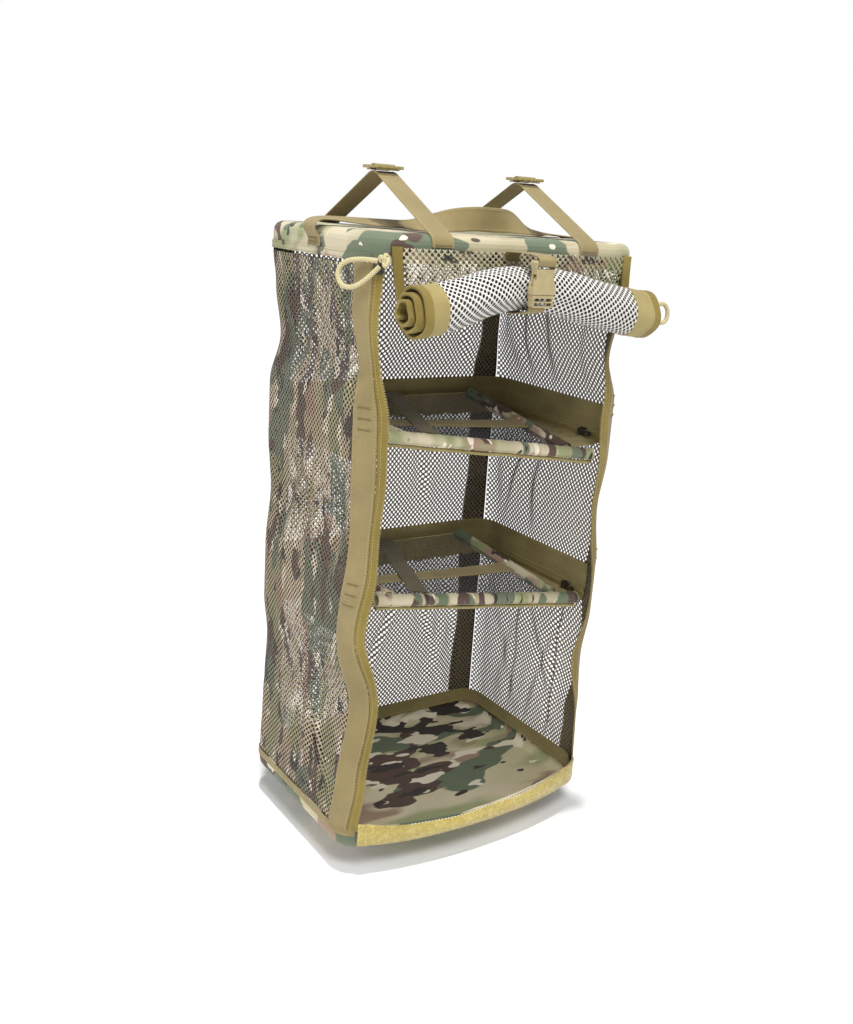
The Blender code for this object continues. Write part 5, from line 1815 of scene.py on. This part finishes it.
@dataclass
class Buckle(Assembly):
    """Side-release buckle on the roll's front with its two straps."""

    roll: DoorRoll
    depth: float = 0.0090
    female: float = 0.031
    seam: float = 0.572
    strap: float = 0.020
    strap_thickness: float = 0.00128
    slot_rise: float = 0.0254

    def upper(self, y: float) -> list[tuple[float, float]]:
        """Route of the tab, up from its seam on the door, over the roll and round the socket's slot.

        Args:
            y: The buckle's middle plane.

        Returns:
            Its places as Y and Z.
        """
        c, seam, thin = self.cabinet, level(self.seam), self.strap_thickness
        face = -(c.depth / 2 + c.fabric + c.gap * 2 + self.roll.tape_thickness / 2 + thin / 2)
        stand = self.depth / 2 + c.gap + thin / 2
        near, far = y - stand, y + stand
        return [
            (face, level(0.5985)), (face, level(0.6040)), (face - 0.0040, level(0.6078)),
            (y + 0.0250, level(0.6085)), (y + 0.0080, level(0.6080)), (y - 0.0015, level(0.6070)),
            (near - 0.0010, seam + self.female + 0.0008), (near, seam + self.slot_rise + 0.0016),
            (y, seam + self.slot_rise), (far - 0.0004, seam + self.slot_rise + 0.0006),
            (far + 0.0012, seam + self.female - 0.0020),
        ]

    def lower(self, y: float, under: Array, radius: float) -> list[tuple[float, float]]:
        """Route of the long strap, down inside the roof, under the roll and up to the plug.

        Args:
            y: The buckle's middle plane.
            under: The roll's centre at the buckle.
            radius: Its radius there.

        Returns:
            Its places as Y and Z.
        """
        c, seam = self.cabinet, level(self.seam)
        low = under[2] - (radius + self.roll.tape_thickness / 2 + 0.0016)
        inside = -(c.depth / 2 - 0.0018)
        return [
            (inside, level(c.height) - c.gap), (inside, under[2]), (inside - 0.0008, low + 0.0080),
            (inside - 0.0075, low + 0.0008), (under[1] + 0.008, low - 0.0006), (under[1], low - 0.0006),
            (under[1] - 0.010, low + 0.0008), (y + 0.0054, low + 0.0040),
            (y + self.depth / 2 + 0.0004, seam - 0.0148), (y + self.depth / 2 + 0.0002, seam - 0.0114),
        ]

    def webbing(self, name: str, route: list[tuple[float, float]]) -> tuple[Piece, Array]:
        """Makes one strap, and gives its centres with it."""
        line = np.array([(self.roll.buckle_x, y, z) for y, z in route])
        centres, = resample(line, 0.0015)
        return ribbon(f"roll_strap_{name}", centres, RIGHT, self.strap, self.strap_thickness), centres

    def build(self) -> None:
        """Builds the straps and gives the buckle its finish."""
        f = self.finishes
        spots, radii = self.roll.centre(np.array([self.roll.buckle_x]))
        under, radius = spots[0], radii[0]
        y = float(under[1] - radius) - self.roll.tape_thickness / 2 - 0.001 - self.depth / 2
        piece, _ = self.webbing("upper", self.upper(y))
        dress(piece, "cabinet", Slot.WEBBING, [f.khaki], ["door_strap_upper"])
        piece, centres = self.webbing("lower", self.lower(y, under, radius))
        piece.data.materials.append(f.khaki)
        plug = (*centres[-1][:2], under[2])
        tuple(under)
        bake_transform(piece)
        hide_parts("door_strap_lower")
        for node in ("buckle_female", "buckle_male"):
            self.paint(node, f.plastic)


@dataclass
class Shelf(Assembly):
    """One shelf: the band on the walls, its zip, the framed edge and the net floor with its webbing."""

    name: str
    top: float
    back_drop: float
    front_drop: float
    still: float
    band: float = 0.032
    band_thickness: float = 0.0014
    chain: float = 0.006
    chain_thickness: float = 0.0020
    tape_lap: float = 0.0030
    tape_drop: float = 0.0045
    tooth_pitch: float = 0.0021
    tooth: tuple[float, float, float] = (0.0007, 0.0019, 0.0008)
    tooth_ends: tuple[float, float, float] = (1.0, 0.85, 1.0)
    flange_drop: float = 0.0034
    past_side: float = 0.006
    knee_reach: float = 0.0085
    half_width: float = 0.110
    bar_half: float = 0.134
    bar_y: float = -0.104
    back_y: float = 0.101
    side_slant: float = 0.135
    sleeve_radius: float = 0.0068
    sleeve_wall: float = 0.0010
    sleeve_clear: float = 0.0008
    piping: float = 0.0019
    cross_y: float = -0.028
    cross_slant: float = 0.085
    load_width: float = 0.020
    load_front: float = -0.074
    load_back: float = -0.002
    slack: float = 0.0022

    @property
    def body(self) -> str:
        """The body that the shelf's pieces ride on."""
        return f"{self.name}_shelf"

    @property
    def fold(self) -> tuple[float, float, float]:
        """Where the folding walls stay level with the shelf."""
        return 0.0, 0.0, float(level(self.still))

    @property
    def net_half(self) -> float:
        """Half the width of the net floor."""
        return self.half_width - self.sleeve_radius - self.sleeve_clear

    @property
    def net_ends(self) -> tuple[float, float]:
        """Front and back end of the net floor."""
        return self.bar_y + self.sleeve_radius + self.sleeve_clear, self.back_y - 0.002

    def floor(self, x: Array | float, y: Array | float, lift: Array | float = 0.0) -> Array:
        """Points of the floor's plane, lifted by some height."""
        t = (self.back_y - y) / (self.back_y - self.bar_y)
        back, front = self.top - self.back_drop, self.top - self.front_drop
        height = back + (front - self.side_slant * x - back) * t + lift
        return np.stack(np.broadcast_arrays(x, y, level(height)), axis=-1)

    def wall_band(self) -> float:
        """Makes the band on the three walls and the zip along its foot, and returns the zip's offset."""
        c, f = self.cabinet, self.finishes
        seams = Seams(f"{self.name}_band_stitches", self.body, f.thread, self.fold, Slot.OLIVE)
        ring, foot = c.ring(self.past_side, self.past_side), self.top - self.band
        inward = -(c.fabric / 2 + c.gap * 3 + self.band_thickness / 2)
        edges = (foot, self.top)
        piece = strip(f"{self.name}_band", c.taut, ring, edges, inward, self.band_thickness)
        dress(piece, self.body, Slot.OLIVE, [f.olive], [f"{self.name}_wall_band"], self.fold)
        for drop in (0.0025, 0.014, 0.0165, self.band - 0.003):
            seams.row(c.taut, ring, self.top - drop, inward - self.band_thickness / 2)
        seams.build()
        inward -= self.band_thickness / 2 + c.gap + self.chain_thickness / 2
        edges = (foot - self.chain - self.tape_drop, foot + self.tape_lap)
        piece = strip(f"{self.name}_zip_tape", c.taut, ring, edges, inward, self.chain_thickness * 0.6)
        dress(piece, self.body, Slot.GOLD, [f.olive], [f"{self.name}_zip_chain"], self.fold)
        middle = np.full(ring.shape, foot - self.chain / 2)
        points = c.taut(ring, middle, np.full(ring.shape, inward - 0.0006))
        away = c.taut(ring, middle, np.full(ring.shape, inward - 0.0016)) - points
        even, away = resample(points, self.tooth_pitch, away)
        upward = np.broadcast_to(UP, even.shape)
        directions = np.stack([unit(np.gradient(even, axis=0)), upward, unit(away)], axis=1)
        axes = directions * np.array(self.tooth)[:, None]
        piece = blocks(f"{self.name}_zip_teeth", even, axes, self.tooth_ends, self.tooth_ends)
        dress(piece, self.body, Slot.GOLD, [f.teeth], fold=self.fold)
        return inward

    def flange(self, inward: float) -> None:
        """Makes the puckered tape from the zip down to the floor's frame.

        Args:
            inward: The zip's offset.
        """
        c = self.cabinet
        ring = c.ring(self.past_side, self.past_side, 0.0035)
        high = np.full(ring.shape, self.top - self.band - self.chain - self.flange_drop)
        outer = c.taut(ring, high, np.full(ring.shape, inward - 0.0013))
        knee = c.taut(ring, high - 0.0020, np.full(ring.shape, inward - self.knee_reach))
        inner_x = self.half_width + self.sleeve_radius + 0.0012
        x = np.clip(knee[:, 0], -inner_x, inner_x)
        y = np.clip(knee[:, 1], self.bar_y + 0.020, self.back_y + 0.0015)
        inner = self.floor(x, y)
        rows = [outer, (outer + knee) / 2 + UP * 0.0004, knee]
        rows += [knee + (inner - knee) * t for t in (0.33, 0.66, 1.0)]
        grid = np.stack(rows, axis=1)
        pucker = 0.0009 * np.sin(ring * 330.0) + 0.0008 * np.sin(ring * 173.0 + 1.0)
        grid[:, 1:-1, 2] += pucker[:, None]
        piece = slab(f"{self.name}_skirt", grid, c.fabric)
        dress(piece, self.body, Slot.OLIVE, [self.finishes.olive], [f"{self.name}_flange"])

    def sleeve(self, side: str, start: Array, end: Array) -> None:
        """Makes one cloth sleeve, slack and puckered round its rod, with a hemmed open end.

        Args:
            side: Which side of the frame.
            start: Middle of one end.
            end: Middle of the other.
        """
        sides, share = 20, np.linspace(0.0, 1.0, 60)
        path = start + (end - start) * share[:, None]
        outer = tube_rings(path, self.sleeve_radius, sides)
        a = np.arange(sides) * 2 * math.pi / sides
        run = share * np.linalg.norm(end - start)
        ripple = (0.00022 * np.sin(run[:, None] * 260.0 + 2.0 * a)
                  + 0.00018 * np.sin(run[:, None] * 610.0 - a * 3.0))
        hem = 0.0004 * np.exp(-((np.minimum(run, run[-1] - run) / 0.003) ** 2))[:, None]
        away = unit(outer - path[:, None])
        outer = outer + away * (ripple - 0.0003 + hem)[..., None]
        inner = path[::-1, None] + away[::-1] * (self.sleeve_radius - self.sleeve_wall - 0.0005)
        piece = sweep(f"{self.name}_{side}_cover", np.concatenate([outer, inner]), looped=True)
        cloth = self.finishes.sleeves[self.name]
        dress(piece, self.body, Slot.PRINT, [cloth], [f"{self.name}_{side}_sleeve"])
        self.paint(f"{self.name}_{side}_rod", self.finishes.plastic)

    def frame(self, seams: Seams) -> None:
        """Makes the framed edge with the piping under its front."""
        near = self.bar_y + 2 * self.sleeve_radius + self.cabinet.gap
        ends = {
            "front": ((-self.bar_half, self.bar_y), (self.bar_half, self.bar_y)),
            "left": ((-self.half_width, near), (-self.half_width, self.back_y - 0.003)),
            "right": ((self.half_width, near), (self.half_width, self.back_y - 0.003)),
        }
        for side, (start, end) in ends.items():
            self.sleeve(side, self.floor(*start), self.floor(*end))
        x = np.linspace(-self.bar_half, self.bar_half, 90)
        line = self.floor(x, self.bar_y, -(self.sleeve_radius + self.piping))
        line[:, 2] += 0.0004 * np.sin(x * 95.0) + 0.0003 * np.sin(x * 41.0)
        piece = sweep(f"{self.name}_front_cord", tube_rings(line, self.piping, 10))
        dress(piece, self.body, Slot.WEBBING, [self.finishes.pale_tape], [f"{self.name}_front_piping"])
        seam = self.floor(x, self.bar_y - self.sleeve_radius * 0.82, -self.sleeve_radius * 0.62)
        seams.line(seam, np.array((0.0, -0.8, -0.6)))

    def net(self) -> None:
        """Makes the net floor between the sleeves, hanging a little slack."""
        near, far = self.net_ends
        size = (2 * self.net_half, far - near)

        def surface(u: Array, v: Array, offset: Array) -> Array:
            """Points of the floor for its flat coordinates."""
            sag = self.slack * np.sin(math.pi * u / size[0]) * np.sin(math.pi * v / size[1])
            return self.floor(u - self.net_half, near + v, offset - sag)

        piece = FineNet(f"{self.name}_floor_net", surface, size).build()
        dress(piece, self.body, Slot.MESH, [self.finishes.net_floor], [f"{self.name}_net_floor"])

    def straps(self, seams: Seams) -> None:
        """Makes the two webbings that lie over the net."""
        c, f = self.cabinet, self.finishes
        near, far = self.net_ends
        lift = 0.0007 + c.gap * 4 + c.webbing_thickness / 2
        x = np.linspace(-self.net_half + 0.002, self.net_half - 0.002, 70)
        run = self.cross_y + self.cross_slant * x
        centres = self.floor(x, run, lift)
        across = centres - self.floor(x, run - 0.01, lift)
        piece = ribbon(f"{self.name}_cross_webbing", centres, across, c.webbing, c.webbing_thickness)
        dress(piece, self.body, Slot.WEBBING, [f.khaki], [f"{self.name}_cross_strap"])
        for shift in (-c.seam_reach, c.seam_reach):
            seams.line(self.floor(x, run + shift, lift + c.webbing_thickness / 2), UP)
        lift += c.webbing_thickness + c.gap * 3
        start, end = np.array((self.load_front, near + 0.003)), np.array((self.load_back, far - 0.002))
        flat = (start + (end - start) * np.linspace(0, 1, 80)[:, None]).T
        side = unit((end - start)[::-1] * (1, -1))[:, None] * 0.01
        centres = self.floor(*flat, lift)
        across = self.floor(*(flat + side), lift) - centres
        piece = ribbon(f"{self.name}_load_webbing", centres, across, self.load_width, c.webbing_thickness)
        dress(piece, self.body, Slot.WEBBING, [f.load], [f"{self.name}_load_strap"])

    def build(self) -> None:
        """Builds the shelf."""
        seams = Seams(f"{self.name}_shelf_stitches", self.body, self.finishes.thread, slot=Slot.OLIVE)
        self.flange(self.wall_band())
        self.frame(seams)
        self.net()
        self.straps(seams)
        seams.build()
        self.paint(f"{self.name}_zip_slider", self.finishes.metal)


@dataclass
class PullCords(Assembly):
    """The two cord loops: one on the door's zip slider, one at the roll's right end."""

    roll: DoorRoll
    radius: float = 0.0023
    slider_height: float = 0.0022
    stand: float = 0.0072
    hitch: tuple[float, float, float] = (0.005, -0.005, 0.006)
    slider_loop: tuple[float, float] = (0.044, 0.034)
    roll_loop: tuple[float, float] = (0.026, 0.028)
    knot_size: float = 0.0065

    def loop(self, start: Array, out: Array, side: Array, length: float, width: float) -> Array:
        """A drop-shaped loop that leaves a point, widens and comes back beside it.

        Args:
            start: Where it leaves.
            out: Its direction.
            side: Direction across it.
            length: How far it reaches.
            width: How wide it is.

        Returns:
            Its centre points.
        """
        t = np.arange(25) / 24
        a = 2 * math.pi * t
        reach = length * (0.5 - 0.5 * np.cos(a))
        spread = width / 2 * np.sin(a) * (0.25 + 0.75 * np.sin(math.pi * t) ** 2)
        return (start + out * reach[:, None] + side * spread[:, None])[2:-2]

    def cord(self, name: str, node: str, body: str, path: Array) -> None:
        """Makes one cord.

        Args:
            name: The piece's name.
            node: The CAD node that it stands for.
            body: The body it rides on.
            path: Its centre points.
        """
        fine = smooth_path(path, 4)
        piece = sweep(name, tube_rings(fine, self.radius, 14))
        dress(piece, body, Slot.WEBBING, [self.finishes.cord], [node])

    def knot(self, name: str, body: str, centre: Array, size: float) -> None:
        """Makes an overhand knot of the same cord.

        Args:
            name: The piece's name.
            body: The body it rides on.
            centre: Its middle.
            size: Half its extent.
        """
        t = np.linspace(0, 2 * math.pi, 72, endpoint=False)
        x = np.sin(t) + 1.6 * np.sin(2 * t)
        y = np.cos(t) - 1.6 * np.cos(2 * t)
        path = centre + np.stack([x * 0.30, y * 0.22, -np.sin(3 * t) * 0.42 + y * 0.18], axis=1) * size
        closed = np.vstack([path[-1:], path, path[:1]])
        rings = tube_rings(closed, self.radius * 0.86, 10)[1:-1]
        dress(sweep(name, rings, looped=True), body, Slot.WEBBING, [self.finishes.cord])

    def build(self) -> None:
        """Builds both loops and the knot at the slider."""
        c = self.cabinet
        height = np.array(c.height - 0.003)
        reach = np.array(-(c.side_end + float(c.reach(-1, height)) - 0.004))
        point, out = c.outline(reach)
        stand = c.face - float(c.drawn_in(height)) + self.slider_height + c.gap * 2 + self.stand
        hang = point + out * stand + UP * level(float(height)) + np.array(self.hitch)
        away = unit(np.array((-0.62, 0.52, -0.34)) - out * 0.10)
        side = np.array((0.30, -0.05, 0.95))
        side = unit(side - away * (side @ away))
        path = self.loop(hang + away * 0.004, away, side, *self.slider_loop)
        self.cord("slider_pull_loop", "door_pull_cord", "door_slider", path)
        self.knot("slider_pull_knot", "door_slider", hang + away * 0.001 + UP * 0.001, self.knot_size)
        centre, _ = self.roll.centre(np.array(self.roll.right))
        out = unit(np.array((0.97, -0.2, 0.0)))
        start, side = centre + (0.0025, -0.001, 0.0), np.array((0.0, 0.10, 0.99))
        path = self.loop(start, out, side, *self.roll_loop)
        self.cord("roll_pull_loop", "roll_end_loop", "cabinet", path)
        self.paint("door_zip_slider", self.finishes.metal)


@dataclass(frozen=True)
class Studio:
    """Camera, soft lamps, white surroundings and a pale floor that keeps the shadow."""

    eye: tuple[float, float, float] = (-0.66909, -0.96973, -0.01012)
    yaw: float = 0.59769
    pitch: float = 0.27877
    roll: float = -0.06955
    focal: float = 37.84
    floor_drop: float = 0.030
    floor_half: float = 6.0
    sun_angle: float = 0.05
    aim: tuple[float, float, float] = (0.0, 0.0, -0.35)

    def camera(self) -> None:
        """Places the camera at the photograph's viewing angle."""
        cy, sy, cp, sp = math.cos(self.yaw), math.sin(self.yaw), math.cos(self.pitch), math.sin(self.pitch)
        look = Vector((sy * cp, cy * cp, -sp))
        right = Vector((cy, -sy, 0.0))
        down = look.cross(right)
        cr, sr = math.cos(self.roll), math.sin(self.roll)
        x_axis, y_axis = cr * right + sr * down, -(cr * down - sr * right)
        made = bpy.data.cameras.new("camera")
        made.lens = self.focal
        made.sensor_width = 36.0
        made.clip_start = 0.05
        obj = bpy.data.objects.new("camera", made)
        turn = Matrix((x_axis, y_axis, -look)).transposed().to_4x4()
        obj.matrix_world = Matrix.Translation(self.eye) @ turn
        bpy.context.scene.collection.objects.link(obj)
        bpy.context.scene.camera = obj

    def hang(
        self, light: bpy.types.Light, watts: float, aim: Sequence[float], place: Sequence[float] = (0, 0, 0)
    ) -> None:
        """Hangs a lamp.

        Args:
            light: The lamp.
            watts: Its power, for the far one that of a square metre.
            aim: The direction in which it shines.
            place: Where it hangs.
        """
        light.energy = watts
        obj = bpy.data.objects.new(light.name, light)
        obj.location = place
        obj.rotation_euler = Vector(aim).to_track_quat("-Z", "Y").to_euler()
        bpy.context.scene.collection.objects.link(obj)

    def lamps(self) -> None:
        """Hangs two soft lamps that point at the object and a far one that throws the tray's shadow."""
        soft = (("key", (-0.45, -1.15, 0.95), 0.55, 18.0), ("side", (-2.2, 0.2, 0.4), 1.2, 15.0))
        for name, place, size, watts in soft:
            light = bpy.data.lights.new(name, "AREA")
            light.shape = "SQUARE"
            light.size = size
            self.hang(light, watts, Vector(self.aim) - Vector(place), place)
        sun = bpy.data.lights.new("sun", "SUN")
        sun.angle = self.sun_angle
        self.hang(sun, 2.4, (0.05, 0.074, -1.0))

    def white_to_camera(self, tree: bpy.types.NodeTree) -> Socket:
        """1 for rays that the camera sees, directly or by a reflection, and 0 for lighting rays."""
        path = tree.nodes.new("ShaderNodeLightPath")
        total = path.outputs["Is Camera Ray"]
        for name in ("Is Glossy Ray", "Is Transmission Ray"):
            either = tree.nodes.new("ShaderNodeMath")
            either.operation = "MAXIMUM"
            tree.links.new(total, either.inputs[0])
            tree.links.new(path.outputs[name], either.inputs[1])
            total = either.outputs[0]
        return total

    def world(self) -> None:
        """Makes the surroundings: soft light for the object, white for the camera."""
        world = bpy.data.worlds.new("surroundings")
        bpy.context.scene.world = world
        world.use_nodes = True
        tree = world.node_tree
        ambient = tree.nodes["Background"]
        ambient.inputs["Color"].default_value = (0.97, 0.98, 1.0, 1.0)
        ambient.inputs["Strength"].default_value = 0.27
        seen = tree.nodes.new("ShaderNodeBackground")
        seen.inputs["Color"].default_value = (1.0, 1.0, 1.0, 1.0)
        seen.inputs["Strength"].default_value = 1.0
        mix = tree.nodes.new("ShaderNodeMixShader")
        tree.links.new(self.white_to_camera(tree), mix.inputs[0])
        tree.links.new(ambient.outputs[0], mix.inputs[1])
        tree.links.new(seen.outputs[0], mix.inputs[2])
        tree.links.new(mix.outputs[0], tree.nodes["World Output"].inputs["Surface"])

    def floor(self) -> None:
        """Makes the pale floor below the tray."""
        side, low = self.floor_half, float(level(-0.020)) - self.floor_drop
        points = np.array([(-side, -side, low), (side, -side, low), (side, side, low), (-side, side, low)])
        floor = make_mesh("floor", points, [(np.array([(0, 1, 2, 3)]), 0)], smooth=False)
        shader = Shader("floor_paint", 0.9)
        shader.base.inputs["Base Color"].default_value = (0.95, 0.95, 0.95, 1.0)
        shader.base.inputs["Specular IOR Level"].default_value = 0.0
        glow = shader.add("Emission", {"Color": (1.0, 1.0, 1.0, 1.0), "Strength": 0.03})
        dark = shader.add("Emission", {"Strength": 0.0})
        seen = self.white_to_camera(shader.tree)
        lift = shader.add("MixShader", {0: seen, 1: dark.outputs[0], 2: glow.outputs[0]})
        both = shader.add("AddShader", {0: shader.base.outputs[0], 1: lift.outputs[0]})
        surface = shader.tree.nodes["Material Output"].inputs["Surface"]
        shader.tree.links.new(both.outputs[0], surface)
        floor.data.materials.append(shader.material)
        floor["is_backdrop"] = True

    def build(self) -> None:
        """Sets up the studio."""
        self.camera()
        self.world()
        self.floor()
        self.lamps()
        bpy.context.scene.view_settings.view_transform = "Standard"


def corners() -> list[list[float]]:
    """The object's box as plain numbers."""
    return [[float(value) for value in corner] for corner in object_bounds()]


def main() -> None:
    """Builds the studio, the cords, then the cabinet from the walls to the shelves."""
    logging.basicConfig(level=logging.INFO, format="%(name)s: %(message)s")
    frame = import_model()
    cabinet = Cabinet()
    kit = (cabinet, Wardrobe(), frame["nodes"])
    roll = DoorRoll(*kit)
    Studio().build()
    PullCords(*kit, roll).build()
    for assembly in (Walls, Roof, Tray, HangingStraps, CarryHandle):
        assembly(*kit).build()
    roll.build()
    Buckle(*kit, roll).build()
    Shelf(*kit, "upper", top=cabinet.upper_band, back_drop=0.018, front_drop=0.033, still=0.4187).build()
    Shelf(*kit, "lower", top=cabinet.lower_band, back_drop=0.013, front_drop=0.015, still=0.2536).build()


if __name__ == "__main__":
    main()
